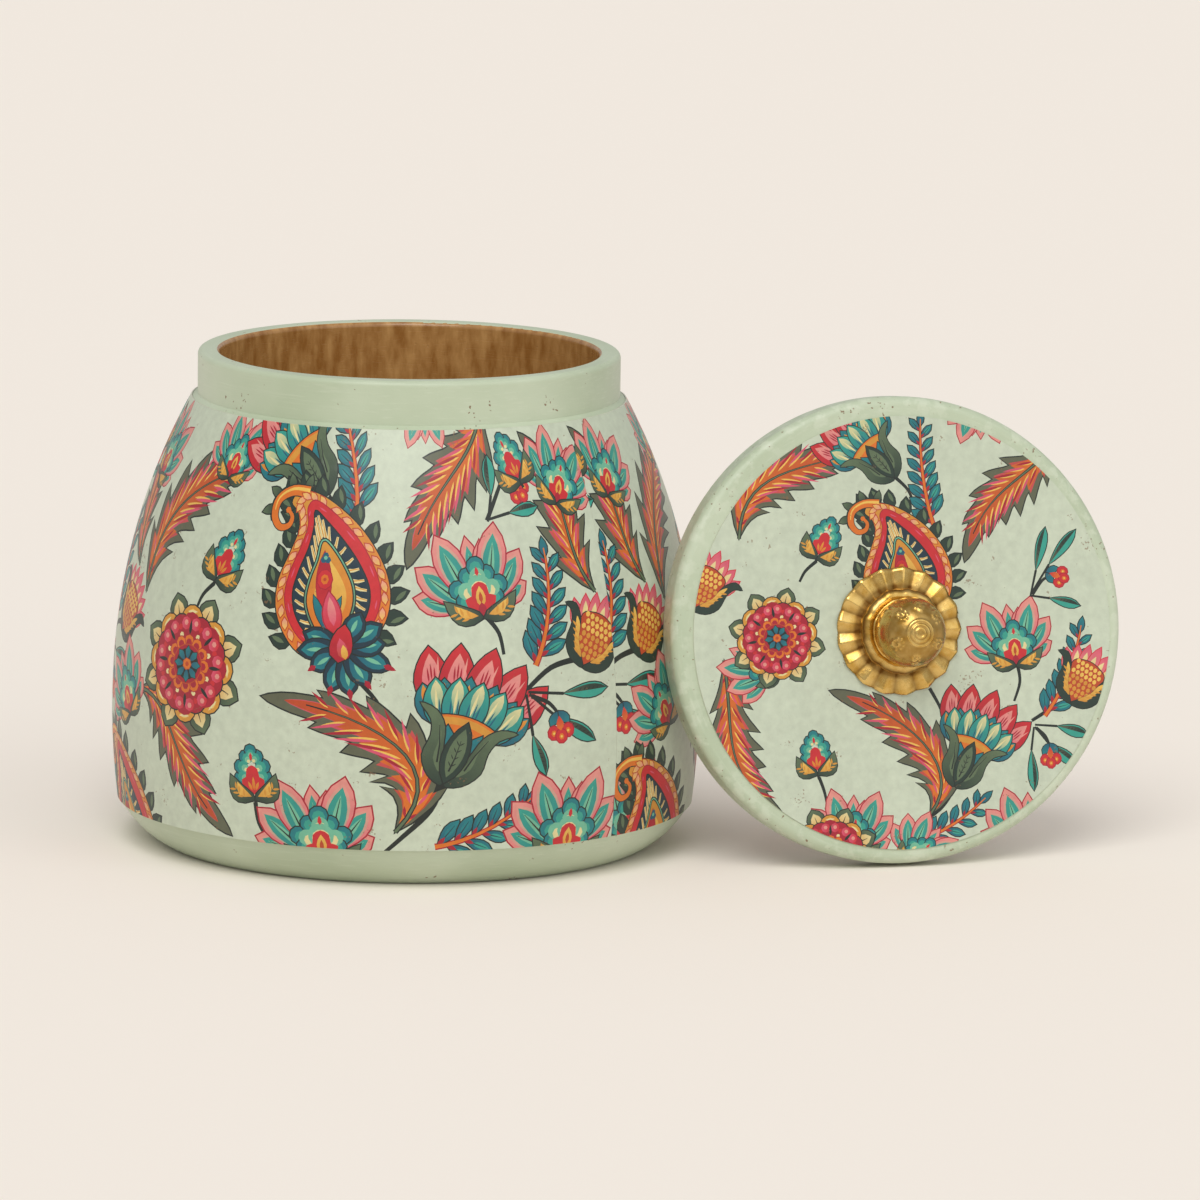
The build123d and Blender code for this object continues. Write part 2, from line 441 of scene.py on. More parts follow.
def plain(name, colour, rough, metal=0.0):
    """A fine even finish with a little mottling."""
    finish = Finish(name)
    speckle = finish.noise(finish.place(), SPECKLE_SCALE, 3)
    deep = tuple(channel * SPECKLE_SHADE for channel in colour[:3]) + (1.0,)
    return finish.surface(
        Base_Color=finish.mix(speckle, deep, colour),
        Roughness=speckle * 0.16 + (rough - 0.08),
        Metallic=metal,
        Normal=finish.bump(speckle, 0.00002),
    )


def dress(node, material):
    """Gives a node of the frame its finish."""
    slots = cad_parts[node].data.materials
    slots.clear()
    slots.append(material)
    print(node, "gets", material.name)


dress("jar_body", jar_paint)
dress("lid_disc", lid_paint)
dress("lid_plug", lacquered_wood())
dress("lid_seal", plain("seal_rubber", hue("DAD8CC"), 0.55))
steel = plain("screw_steel", hue("B9BBBD"), 0.32, metal=1.0)
dress("screw_washer", steel)
dress("knob_screw", steel)

# %% [markdown]
# ## Drawing the print
# The paper carries a traditional all-over pattern of leaves and flowers. An image of it would be
# the usual way, but an image only stays sharp from far off, so here each leaf is drawn as a flat
# outline. Its colours are a few inks over the pale ground of the paper.

# %% Colours of the print
GROUND = hue("C7D1BB")
INK = hue("16201B")
NAVY = hue("14303F")
BLUE = hue("11566F")
TEAL = hue("147A80")
TURQUOISE = hue("2F9C8A")
AQUA = hue("70B898")
BOTTLE = hue("20352B")
MOSS = hue("5B6E50")
OLIVE = hue("5D604A")
CRIMSON = hue("A5122A")
RED = hue("C8232B")
ROSE = hue("D4506C")
PINK = hue("E09286")
RUST = hue("B8431A")
ORANGE = hue("D9701A")
OCHRE = hue("D29232")
YELLOW = hue("E9BC55")
STRAW = hue("E2D49A")
print("ground colour", [round(channel, 3) for channel in GROUND])

# %% [markdown]
# ## Outlines
# Points on the flat sheet are complex numbers in millimetres: adding moves a shape, multiplying
# turns and scales it. Few points are spent on each outline, because thousands of them end up on
# the jar. A brush line is an outline too, and the dark edge round a shape is the same outline
# grown a little.

# %% Outlines
def petal(base, tip, width, belly=0.45, sharp=0.8, bend=0.0):
    """A leaf-shaped outline that starts at its base and has its tip half way round."""
    power = math.log(0.5) / math.log(belly)
    length = abs(tip - base)
    steps = clamp(round(2.4 + length * 0.45), 3, 7)
    sides = ([], [])
    for step in range(1, steps):
        t = step / steps
        half = width / 2 * math.sin(math.pi * t**power) ** sharp / length
        middle = t + 1j * bend * math.sin(math.pi * t)
        sides[0].append(middle - 1j * half)
        sides[1].append(middle + 1j * half)
    local = [0, *sides[0], 1, *reversed(sides[1])]
    return [base + (tip - base) * point for point in local]


def disc(centre, radius, sides=None, squash=1.0):
    """A round or oval outline."""
    sides = sides or clamp(round(4 + radius * 3.6), 6, 14)
    turns = [cmath.exp(2j * math.pi * side / sides) for side in range(sides)]
    return [centre + radius * complex(turn.real, turn.imag * squash) for turn in turns]


def loop(points, steps=3):
    """A smooth closed outline through points."""
    return smooth(points, steps, closed=True)


def smooth(points, steps=3, closed=False):
    """Points on a smooth line through points."""
    count = len(points)
    line = []
    for i in range(count if closed else count - 1):
        ends = [i - 1, i, i + 1, i + 2]
        if closed:
            a, b, c, d = (points[k % count] for k in ends)
        else:
            a, b, c, d = (points[clamp(k, 0, count - 1)] for k in ends)
        for step in range(steps):
            t = step / steps
            cubic = 2 * a - 5 * b + 4 * c - d + t * (3 * (b - c) + d - a)
            line.append(b + 0.5 * t * (c - a + t * cubic))
    return line if closed else line + [points[-1]]


def stroke(line, first_width, last_width=None):
    """The outline of a brush stroke along a line, from one width to another."""
    last_width = first_width if last_width is None else last_width
    sides = ([], [])
    for i, point in enumerate(line):
        ahead = line[min(i + 1, len(line) - 1)] - line[max(i - 1, 0)]
        normal = 1j * ahead / (abs(ahead) or 1)
        half = (first_width + (last_width - first_width) * i / (len(line) - 1)) / 2
        sides[0].append(point + normal * half)
        sides[1].append(point - normal * half)
    return sides[0] + sides[1][::-1]


LONGEST_CORNER = 1.7


def grown(outline, distance):
    """The outline moved out by a distance, with its sharp corners kept short."""
    area = sum((a.conjugate() * b).imag for a, b in zip(outline, outline[1:] + outline[:1]))
    side = -1 if area > 0 else 1
    result = []
    for i, point in enumerate(outline):
        before = point - outline[i - 1]
        after = outline[(i + 1) % len(outline)] - point
        normals = [1j * side * step / (abs(step) or 1) for step in (before, after)]
        middle = sum(normals)
        reach = min(1 / max(abs(middle) / 2, 0.01), LONGEST_CORNER)
        result.append(point + middle / (abs(middle) or 1) * distance * reach)
    return result


print("a small leaf has", len(petal(0, 3j, 1)), "points, a long one", len(petal(0, 20j, 5)))

# %% [markdown]
# ## The sheet and the pen
# A sheet keeps the outlines in the order in which they were laid down. A pen stands at a place on
# the sheet, turned and scaled, so that one motif can be drawn many times. An outline that falls
# wholly beside its sheet is dropped at once.

# %% The sheet and the pen
LINE = 0.24


class Sheet:
    """Outlines laid one over another, each with its paint."""

    def __init__(self, left, right, low, high):
        self.reach = (left, right, low, high)
        self.shapes = []

    def shows(self, outline):
        left, right, low, high = self.reach
        xs = [point.real for point in outline]
        ys = [point.imag for point in outline]
        return max(xs) > left and min(xs) < right and max(ys) > low and min(ys) < high


class Pen:
    """A place on a sheet where a motif is drawn, turned by degrees and scaled."""

    def __init__(self, sheet, spot, turn=0.0, size=1.0):
        self.sheet = sheet
        self.spot = spot
        self.spin = cmath.rect(size, math.radians(turn))

    def fill(self, outline, colour, tip_colour=None):
        """One flat shape, or one that fades from its first point to the one across."""
        placed = [self.spot + self.spin * point for point in outline]
        if self.sheet.shows(placed):
            fade = (colour, tip_colour or colour, placed[0], placed[len(placed) // 2])
            self.sheet.shapes.append((placed, fade))

    def shape(self, outline, colour, tip_colour=None, line=LINE, ink=INK):
        """A coloured shape with a dark line round it."""
        self.fill(grown(outline, line), ink)
        self.fill(outline, colour, tip_colour)

    def line(self, points, first_width, last_width, colour=INK):
        """A brush line that changes its width along the way."""
        self.fill(stroke(points, first_width, last_width), colour)

    def streaks(self, base, tip, spread, count, colour, width=0.3):
        """Fine brush marks inside a petal, from near its base towards its tip."""
        across = 1j * (tip - base) / abs(tip - base)
        for i in range(count):
            side = (i + 0.5) / count * 2 - 1
            start = base + (tip - base) * (0.22 + 0.06 * (i % 2)) + across * spread * side * 0.25
            end = base + (tip - base) * (0.74 - 0.14 * abs(side)) + across * spread * side * 0.3
            self.fill(petal(start, end, width), colour)


practice_sheet = Sheet(-1, 1, -1, 1)
Pen(practice_sheet, 0).shape(disc(0, 0.5), RED)
print("a shape with its line is", len(practice_sheet.shapes), "outlines")

# %% [markdown]
# ## The motifs
# Each motif is drawn once, with its root at zero and its top up the page, and is then placed many
# times. A petal is three nested outlines: a dark line, an edge colour and an inner colour. The
# sizes in a motif are read off the real print, in millimetres.

# %% The big flower
def polar(angle, radius):
    """A point at an angle from straight up, clockwise, in degrees."""
    return radius * cmath.exp(1j * math.radians(90 - angle))


def flame_sepal(pen, base, tip, width, bend=0.0):
    """A dark green sepal with an ochre flame inside."""
    pen.shape(petal(base, tip, width, 0.42, 0.8, bend), BOTTLE, MOSS)
    along = tip - base
    inner = petal(base + along * 0.14, base + along * 0.72, width * 0.48, 0.5, 0.9, bend)
    pen.fill(inner, OCHRE, YELLOW)
    for step in (0.3, 0.46, 0.6):
        for side in (1, -1):
            tooth = base + along * (step + 1j * (bend * math.sin(math.pi * step)))
            pen.fill(petal(tooth, tooth + along * (0.16 + 0.15j * side), 0.5), OCHRE)


def protea(pen):
    """A big flower: green calyx, orange band, teal petals and crimson tips."""
    for angle in (-27, 27, -14, 14, 0):
        base, tip = polar(angle, 15), polar(angle, 27.2 - abs(angle) * 0.03)
        pen.shape(petal(base, tip, 6.4, 0.42, 0.75), CRIMSON, RED)
        pen.fill(petal(base, polar(angle, 25), 3.6, 0.45, 0.8), ROSE, PINK)
        pen.streaks(polar(angle, 18), polar(angle, 25), 3.2, 3, CRIMSON, 0.35)
        pen.fill(petal(polar(angle + 3, 20), polar(angle + 3.6, 24.4), 0.4), PINK)
    for angle in (-32, -20.5, -7, 7, 20.5, 32):
        tip = 21.2 - abs(angle) * 0.05
        pen.shape(petal(polar(angle, 12), polar(angle, tip), 4.0, 0.5, 0.7), BLUE, TEAL)
        pen.fill(petal(polar(angle, 15.6), polar(angle, 19.4), 1.3, 0.4), ORANGE, OCHRE)
    for angle in (-25, 25, -12.5, 12.5, 0):
        base, tip = polar(angle, 10.8), polar(angle, 20.4)
        pen.shape(petal(base, tip, 5.0, 0.46, 0.7), TEAL, TURQUOISE)
        pen.fill(petal(polar(angle, 13), polar(angle, 20), 2.2, 0.6, 0.9), TURQUOISE, STRAW)
        pen.streaks(base, polar(angle, 19), 4.6, 4, BLUE)
        pen.fill(petal(polar(angle - 1, 13.5), polar(angle - 0.4, 18.4), 0.5), STRAW)
    band = [polar(angle, 13.4) for angle in range(-30, 31, 6)]
    pen.shape(band + [polar(20, 7), 0, polar(-20, 7)], ORANGE)
    pen.fill([polar(a, 13.0) for a in range(-28, 29, 7)] + [polar(a, 11.6) for a in range(28, -29, -7)],
             OCHRE)
    for angle in (-17, 17):
        pen.shape(petal(polar(angle, 1), polar(angle, 11.4), 3.6, 0.5), BLUE, TEAL)
    for side in (-1, 1):
        sepal = [0, 3.2 * side + 0.7j, 5.6 * side + 4j, 5.5 * side + 8j, 6.6 * side + 11j,
                 9.4 * side + 13.2j, 6.2 * side + 12.9j, 3.7 * side + 10.4j, 2.4 * side + 6j]
        pen.shape(loop(sepal), BOTTLE, MOSS)
        light = [1.6 * side + 2j, 3.6 * side + 4.2j, 3.9 * side + 8j, 5.2 * side + 11j,
                 3.9 * side + 9.2j, 3.0 * side + 6j]
        pen.fill(loop(light), MOSS)
        pen.line([2.6 * side + 3.6j, 3.4 * side + 7j, 4.7 * side + 10.4j], 0.35, 0.12, INK)
    pen.shape(petal(0.2j, 12.4j, 4.6, 0.48, 0.75), BOTTLE, BOTTLE)
    pen.fill(petal(1.4j, 11.2j, 3.0, 0.5, 0.8), MOSS)
    pen.line([2.6j, 0.15 + 5.4j, 8.8j], 0.34, 0.1, INK)
    for rib in range(4):
        for side in (1, -1):
            start = (3.6 + 1.4 * rib) * 1j
            pen.fill(petal(start, start + 0.8 * side + 0.9j, 0.22), INK)


# %% The open flower
def lotus(pen):
    """An open flower of teal petals edged with pink, over a cloud-shaped heart."""
    petals = ((-4.6, 14.6, 3.6), (-1.2, 15.4, 3.6), (1.6, 14.4, 3.4), (-12.6, 5.6, 4.6),
              (9.4, 5.4, 4.4), (-11.6, 11.0, 5.2), (9.4, 11.4, 5.0), (-7.2, 16.4, 5.6),
              (5.2, 17.0, 5.8))
    for x, y, width in petals:
        base, tip = complex(x * 0.18, 2.0), complex(x, y)
        pen.shape(petal(base, tip, width, 0.62, 0.8), ROSE, PINK, line=0.28, ink=CRIMSON)
        pen.fill(petal(base, base + (tip - base) * 0.93, width * 0.76, 0.62, 0.85), AQUA, PINK)
        pen.fill(petal(base, base + (tip - base) * 0.88, width * 0.62, 0.6, 0.85), TEAL, TURQUOISE)
        pen.fill(petal(base, base + (tip - base) * 0.78, width * 0.24, 0.6), AQUA, AQUA)
        pen.line([base + (tip - base) * 0.3, base + (tip - base) * 0.74], 0.4, 0.1, INK)
    for x, y, radius in ((-4.1, 6.0, 1.7), (3.9, 6.0, 1.7), (-3.3, 3.9, 1.4), (3.1, 3.9, 1.4),
                         (-2.1, 8.3, 1.5), (1.9, 8.3, 1.5), (-0.1, 9.9, 1.7)):
        pen.shape(disc(complex(x, y), radius), TEAL)
        pen.fill(disc(complex(x * 0.9, y - 0.3), radius * 0.72), TURQUOISE)
    for x, y, radius in ((-2.6, 5.6, 1.6), (2.5, 5.6, 1.6), (0, 8.0, 1.6), (0, 6, 2.4)):
        pen.fill(disc(complex(x, y), radius), AQUA)
        pen.fill(disc(complex(x * 0.8, y - 0.5), radius * 0.7), STRAW)
    heart = [1j, 2.2 + 1.9j, 3.0 + 4.0j, 1.7 + 4.5j, 1.5 + 6.1j, 7.0j, -1.5 + 6.1j, -1.7 + 4.5j,
             -3.0 + 4.0j, -2.2 + 1.9j]
    pen.fill(loop(heart, 2), RED)
    pen.fill(petal(2.2j, 6.2j, 1.9, 0.45), OCHRE, YELLOW)
    pen.fill(petal(3.0j, 5.2j, 0.8, 0.45), RUST)
    pen.fill(petal(0.6j, 3.2j, 1.6, 0.5), CRIMSON)
    pen.fill(petal(8.0j, 9.8j, 0.8, 0.4), RED)
    for side in (-1, 1):
        flame_sepal(pen, 0.2j, 7.0 * side + 4.2j, 3.4, -0.14 * side)


# %% The small bud
def cloud_bud(pen):
    """A small bud on two sepals, with a red heart and a teal cloud."""
    pen.line([0.4j, 0.15 - 1j], 0.8, 0.7)
    for x, y, radius in ((-2.5, 4.6, 1.5), (2.7, 4.7, 1.5), (-2.4, 6.9, 1.45), (2.5, 7.0, 1.5),
                         (-1.2, 8.9, 1.35), (1.3, 9.0, 1.35), (0, 10.2, 1.25)):
        pen.shape(disc(complex(x, y), radius), TEAL)
    for x, y, radius in ((-2.1, 4.9, 1.2), (2.2, 5.0, 1.2), (-1.9, 6.9, 1.2), (2.0, 6.9, 1.2),
                         (-0.8, 8.6, 1.1), (0.9, 8.7, 1.1), (0, 9.6, 0.9)):
        pen.fill(disc(complex(x, y), radius), TURQUOISE)
        pen.fill(disc(complex(x * 0.8, y - 0.3), radius * 0.66), AQUA)
        pen.fill(disc(complex(x * 0.66, y - 0.6), radius * 0.36), STRAW)
    heart = [1.2j, 2.0 + 2.2j, 2.5 + 4.2j, 1.5 + 4.8j, 1.2 + 6.4j, 7.2j, -1.2 + 6.4j,
             -1.5 + 4.8j, -2.5 + 4.2j, -2.0 + 2.2j]
    pen.fill(loop(heart, 2), RED)
    pen.fill(petal(8.0j, 9.8j, 0.7, 0.5), RED)
    for x in (-1.1, 0.1, 1.2):
        pen.fill(petal(complex(x * 0.3, 2.0), complex(x, 5.0 - abs(x)), 0.65), ORANGE, OCHRE)
    for side in (-1, 1):
        flame_sepal(pen, 0, 5.0 * side + 5.3j, 3.7, -0.2 * side)


# %% The round flower
def rosette(pen):
    """A round flower of scallops round an eight-petalled blue heart."""
    for k in range(8):
        angle = 22.5 + 45 * k
        pen.shape(petal(polar(angle, 7), polar(angle, 12.4), 4.6, 0.5, 0.7), BOTTLE, MOSS)
        pen.fill(petal(polar(angle, 7), polar(angle, 11.4), 2.9, 0.5, 0.75), OCHRE, STRAW)
        pen.line([polar(angle, 8.4), polar(angle, 10.4)], 0.34, 0.08, INK)
    for k in range(8):
        angle = 45 * k
        pen.shape(disc(polar(angle, 7.5), 2.6), OCHRE)
        pen.fill(disc(polar(angle, 8.5), 1.0), YELLOW)
        pen.fill(petal(polar(angle - 8, 9.0), polar(angle + 8, 9.2), 0.5), STRAW)
    for k in range(8):
        angle = 22.5 + 45 * k
        pen.shape(disc(polar(angle, 6.2), 2.5), CRIMSON)
    for k in range(8):
        angle = 45 * k
        pen.fill(disc(polar(angle, 6.6), 2.35), CRIMSON)
        for side in (-1, 1):
            lobe = polar(angle + 10 * side, 7.0)
            pen.shape(disc(lobe, 1.15), RED, ROSE, line=0.12, ink=CRIMSON)
            pen.fill(disc(lobe * 1.02, 0.5), PINK)
        pen.fill(petal(polar(angle, 5.0), polar(angle, 7.6), 0.7), INK)
        pen.fill(disc(polar(angle + 22.5, 6.6), 0.55), RED)
        pen.fill(disc(polar(angle + 22.5, 5.2), 0.5), STRAW)
    for k in range(12):
        pen.shape(disc(polar(30 * k, 3.9), 1.15), ORANGE, line=0.14, ink=CRIMSON)
    for k in range(12):
        pen.fill(disc(polar(30 * k, 3.7), 0.72), CRIMSON)
    pen.fill(disc(0, 3.5, 20), RUST)
    pen.fill(disc(0, 3.3, 20), CRIMSON)
    pen.fill(disc(0, 2.7, 16), INK)
    for k in range(8):
        pen.shape(petal(polar(45 * k, 0.8), polar(45 * k, 3.1), 1.25, 0.62, 0.5), BLUE, TEAL,
                  line=0.12)
    pen.shape(disc(0, 0.95), ORANGE, line=0.12, ink=RUST)
    pen.fill(disc(0, 0.45), RUST)


# %% [markdown]
# ## The hooked drop
# The biggest motif is a drop whose tip curls over. Four smooth loops, one inside another, give
# its bands, and the places along them carry the teeth, the ticks and the stripes between them.

# %% The paisley's outlines
PAISLEY_OUTER = (-4.0 - 2.6j, -8.6 - 1.4j, -12.0 + 2.4j, -13.9 + 7j, -13.9 + 12j, -12.2 + 17j,
                 -10.9 + 21.4j, -11.7 + 24.6j, -13.4 + 26.2j, -12.2 + 28.1j, -8.4 + 28.3j,
                 -3.6 + 26.4j, 1.6 + 22.8j, 5.4 + 18.4j, 7.8 + 13.6j, 8.4 + 8.8j, 7.0 + 4j, 3.2 + 0.2j)
PAISLEY_RED = (-3.6 - 0.8j, -7.8 + 0.8j, -10.8 + 4.4j, -12.2 + 9j, -11.6 + 13.6j, -9.9 + 18.4j,
               -9.0 + 22.4j, -9.6 + 25.4j, -8.2 + 26.9j, -4.4 + 25.2j, 0.4 + 21.6j, 4.0 + 17.2j,
               6.2 + 12.4j, 6.4 + 8.2j, 4.8 + 4j, 2.0 + 0.8j)
PAISLEY_NAVY = (-3.6 + 0.4j, -7.2 + 2.4j, -9.6 + 5.6j, -10.6 + 9.6j, -9.8 + 13.8j, -8.3 + 18.2j,
                -7.7 + 22.2j, -7.9 + 25.0j, -5.6 + 23.6j, -1.4 + 20.0j, 2.0 + 16.0j, 4.2 + 11.8j,
                4.4 + 8.0j, 3.0 + 4.2j, 0.6 + 1.4j)
PAISLEY_CORE = (-3.4 + 1.2j, -6.0 + 4.2j, -7.6 + 8.2j, -7.2 + 12.2j, -6.0 + 16.0j, -5.4 + 19.4j,
                -3.6 + 18.4j, -1.0 + 15.2j, 0.9 + 11.6j, 1.2 + 8.0j, -0.2 + 4.4j)
HOOK = (-9.8 + 28.3j, -13.6 + 28.4j, -16.6 + 26.6j, -17.0 + 23.6j, -15.4 + 21.6j, -13.4 + 22.0j,
        -12.9 + 23.6j, -14.0 + 24.8j)
print("the drop is", max(p.imag for p in PAISLEY_OUTER), "mm tall")


# %% The paisley
def paisley(pen):
    """The hooked drop: a saw fringe, two bands, a striped band, a core and a blue flower."""
    outer = loop(PAISLEY_OUTER, 4)
    fringe = outer[6:]
    for i in range(0, len(fringe) - 3, 3):
        here, ahead = fringe[i], fringe[i + 3]
        along = (ahead - here) / abs(ahead - here)
        out = 1j * along
        tooth_base = here - out * 0.6
        upward = along if i < len(fringe) * 0.42 else -along
        tip = here + out * 3.0 + upward * 2.9
        pen.shape(petal(tooth_base, tip, 2.9, 0.45, 0.8, 0.08), BOTTLE, BOTTLE)
        pen.fill(petal(here + out * 0.9 + upward * 0.5, tip - out * 0.5, 0.9, 0.5), MOSS)
    hook = smooth(HOOK, 4)
    back = [point + (point + 14.6 - 24.8j) / abs(point + 14.6 - 24.8j) * 0.5 for point in hook[:14]]
    pen.line(back, 2.0, 1.2, BOTTLE)
    for i in range(1, 12, 3):
        out = (hook[i] + 14.4 - 24.6j) / abs(hook[i] + 14.4 - 24.6j)
        tip = hook[i] + out * 2.7 + 1j * out * 1.7
        pen.shape(petal(hook[i], tip, 1.7), BOTTLE, MOSS)
    pen.shape(outer, ORANGE, OCHRE)
    pen.line(hook, 2.5, 0.9, INK)
    pen.line(hook, 2.1, 0.6, ORANGE)
    pen.fill(disc(hook[-1], 0.62), ORANGE)
    pen.line([p + 0.3j for p in hook[:12]], 0.7, 0.2, YELLOW)
    red = loop(PAISLEY_RED, 4)
    for i in range(0, len(red), 2):
        mid = (red[i] + outer[min(round(i * len(outer) / len(red)), len(outer) - 1)]) / 2
        along = red[(i + 1) % len(red)] - red[i - 1]
        along /= abs(along)
        upward = along if i > len(red) * 0.58 or i < 2 else -along
        lean = upward * cmath.exp(0.35j if upward == along else -0.35j)
        pen.shape(petal(mid - lean * 1.0, mid + lean * 1.3, 1.15, 0.5), PINK, YELLOW,
                  line=0.2, ink=RUST)
    pen.shape(red, RED, RED, line=0.2, ink=CRIMSON)
    for i in range(3, len(red) - 3, 6):
        if abs(red[i] - red[i + 2]) > 0.5:
            inner = red[i] * 0.94 + (-3 + 10j) * 0.06
            pen.fill(petal(inner, red[i + 2] * 0.94 + (-3 + 10j) * 0.06, 0.3), ROSE)
    navy = loop(PAISLEY_NAVY, 4)
    core = loop(PAISLEY_CORE, 4)
    pen.shape(navy, NAVY)
    for k in range(30):
        a = core[round(k * len(core) / 30) % len(core)]
        b = navy[round((k + 0.6) * len(navy) / 30) % len(navy)]
        start, end = a + (b - a) * 0.16, a + (b - a) * 0.86
        pen.fill(stroke([start, (start + end) / 2 - 0.15j, end], 0.75, 0.45), STRAW)
        pen.fill(stroke([start, end], 0.26, 0.16), OCHRE)
    pen.shape(grown(core, 0.5), MOSS, AQUA)
    pen.shape(core, ORANGE, OCHRE)
    pen.fill(loop([p * 0.72 + (-3.0 + 9.5j) * 0.28 for p in PAISLEY_CORE], 3), OCHRE, YELLOW)
    pen.shape(petal(-4.2 + 6j, -4.9 + 17.8j, 3.0, 0.5), RED, CRIMSON, line=0.15, ink=CRIMSON)
    pen.shape(disc(-4.4 + 12.6j, 1.5, squash=1.2), RED, line=0.18, ink=CRIMSON)
    pen.fill(disc(-4.4 + 12.6j, 0.8, squash=1.2), ORANGE)
    pen.fill(disc(-4.4 + 12.6j, 0.35), RUST)
    for x, y in ((-5.0, 16.2), (-4.1, 16.2), (-4.6, 17.0)):
        pen.fill(disc(complex(x, y), 0.65), BLUE)
    pen.fill(disc(-4.6 + 16.6j, 0.4), AQUA)
    for x in (-6.4, -0.9):
        pen.shape(petal(-3.4 + 3j, complex(x, 9.6), 1.6, 0.5), BLUE, TEAL, line=0.15)
    pen.shape(petal(-1.8 + 2.6j, -3.4 + 10.4j, 3.5, 0.42), RED, ROSE, ink=CRIMSON)
    pen.fill(petal(-2.0 + 4j, -3.2 + 9.4j, 1.6, 0.45), ROSE, PINK)
    for angle, length in ((-72, 8.2), (-96, 8.8), (-126, 7.4), (-165, 8.8), (170, 9.2), (145, 8.6),
                          (112, 9.6), (82, 7.8), (56, 8.4), (24, 7.4)):
        tip = polar(angle, length)
        pen.shape(petal(0, tip, 4.1, 0.58, 0.65), NAVY, NAVY)
        pen.fill(petal(tip * 0.2, tip * 0.92, 2.9, 0.6, 0.8), BLUE, TEAL)
        pen.fill(petal(tip * 0.42, tip * 0.8, 0.8, 0.5), AQUA, AQUA)
        if abs(angle) > 100:
            pen.fill(petal(tip * 0.84, tip * 1.1, 1.1, 0.35), CRIMSON)
    pen.shape(petal(-0.9 - 2.8j, 0.1 + 4.4j, 4.2, 0.4, 0.6), CRIMSON, RED)
    pen.fill(petal(0.3 - 2.2j, -0.8 + 1.8j, 2.0, 0.4, 0.6), RUST, ROSE)
    pen.fill(petal(0.5 - 2.2j, -0.1 + 0.6j, 1.3, 0.4, 0.6), OCHRE, YELLOW)


# %% [markdown]
# ## Leaves
# The leaves fill the room between the flowers. The big ones have hooked teeth along a curved
# spine, so the teeth are worked out from the spine. The feathers and the narrow leaves are petals
# set in rows.

# %% Saw-edged leaves
def bow(start, pull, push, end, steps=14):
    """Points along a curve that leaves start towards pull and reaches end from push."""
    line = []
    for step in range(steps + 1):
        t = step / steps
        s = 1 - t
        line.append(start * s**3 + 3 * pull * s * s * t + 3 * push * s * t * t + end * t**3)
    return line


TOOTH_RISES = (0.0, 0.35, 0.65, 0.85, 1.0)
TOOTH_ROOT = 0.45
TOOTH_HOOK = 0.35


def saw_leaf(spine, width, teeth, cut=0.5, right=1.0):
    """A long leaf with hooked teeth that sweep to its tip; right scales its right half."""
    def point_at(t):
        place = clamp(t) * (len(spine) - 1)
        low = min(int(place), len(spine) - 2)
        return spine[low] + (spine[low + 1] - spine[low]) * (place - low)

    edges = ([], [])
    for side, edge in zip((1, -1), edges):
        for tooth in range(teeth):
            for rise in TOOTH_RISES:
                t = (tooth + TOOTH_ROOT + rise * 0.8 + rise**3 * TOOTH_HOOK) / (teeth + 0.75)
                along = point_at(t + 0.04) - point_at(t - 0.04)
                normal = 1j * along / (abs(along) or 1)
                body = math.sin(math.pi * min(t, 1)) ** 0.8 * (1.2 - 0.4 * t)
                half = width / 2 * body * (1 - cut + cut * rise**1.8)
                edge.append(point_at(t) + side * normal * half * (1 if side > 0 else right))
    return [spine[0], *edges[1], spine[-1], *reversed(edges[0])]


def acanthus(pen, spine, width, teeth, right):
    """A curling saw-edged leaf: olive outside, a flame of orange and red inside."""
    pen.shape(saw_leaf(spine, width, teeth, 0.42, right), OLIVE, OLIVE, line=0.3)
    inner = spine[: round(len(spine) * 0.94)]
    pen.fill(saw_leaf(inner, width * 0.66, teeth, 0.5, right), RUST, ROSE)
    pen.fill(saw_leaf(inner, width * 0.54, teeth, 0.42, right), ORANGE, RUST)
    for i in range(1, len(spine) - 3):
        along = spine[i + 1] - spine[i]
        along /= abs(along)
        for side, scale in ((1, 1.0), (-1, right)):
            for reach, colour in ((0.22, YELLOW), (0.31, CRIMSON if i % 2 else ROSE)):
                fade = math.sin(math.pi * (i + 0.5) / len(spine)) ** 1.1
                start = spine[i] + 1j * along * side * width * scale * reach * 0.3 * fade
                end = start + (along * 1.5 + 0.8j * along * side) * width * scale * reach * fade
                pen.fill(petal(start, end, 0.6), colour)
    pen.fill(stroke(spine[:-2], 1.0, 0.25), INK)
    pen.fill(stroke(spine[:-3], 0.5, 0.1), MOSS)


# %% Feathers, narrow leaves and berries
def fern(pen, length, pairs, bend=2.0):
    """A feather of blue leaflets on an orange rib, with red buds at their roots."""
    rib = bow(0, bend + length * 0.3j, bend + length * 0.66j, length * 1j, 2 * pairs)
    pen.line(rib, 1.3, 0.6, CRIMSON)
    for i in range(2 * pairs - 1):
        along = rib[i + 1] - rib[i]
        along /= abs(along)
        fade = 1 - 0.42 * i / len(rib)
        side = (-1, 1)[i % 2]
        start = rib[i] + along * 0.4
        tip = start + along * cmath.exp(-0.74j * side) * 6.3 * fade
        pen.shape(petal(start, tip, 2.4 * fade, 0.6, 0.75), BLUE, TEAL)
        light = TURQUOISE if side > 0 else TEAL
        pen.fill(petal(start + (tip - start) * 0.3, start + (tip - start) * 0.9, 1.2 * fade), light)
        pen.line([start + (tip - start) * 0.2, start + (tip - start) * 0.8], 0.28, 0.08, NAVY)
        pen.fill(petal(start, start + (tip - start) * 0.36, 0.9 * fade), CRIMSON)
    pen.shape(petal(rib[-2], rib[-1] + (rib[-1] - rib[-2]) * 1.2, 1.7), BLUE, TEAL)
    pen.line(rib, 0.8, 0.26, ORANGE)


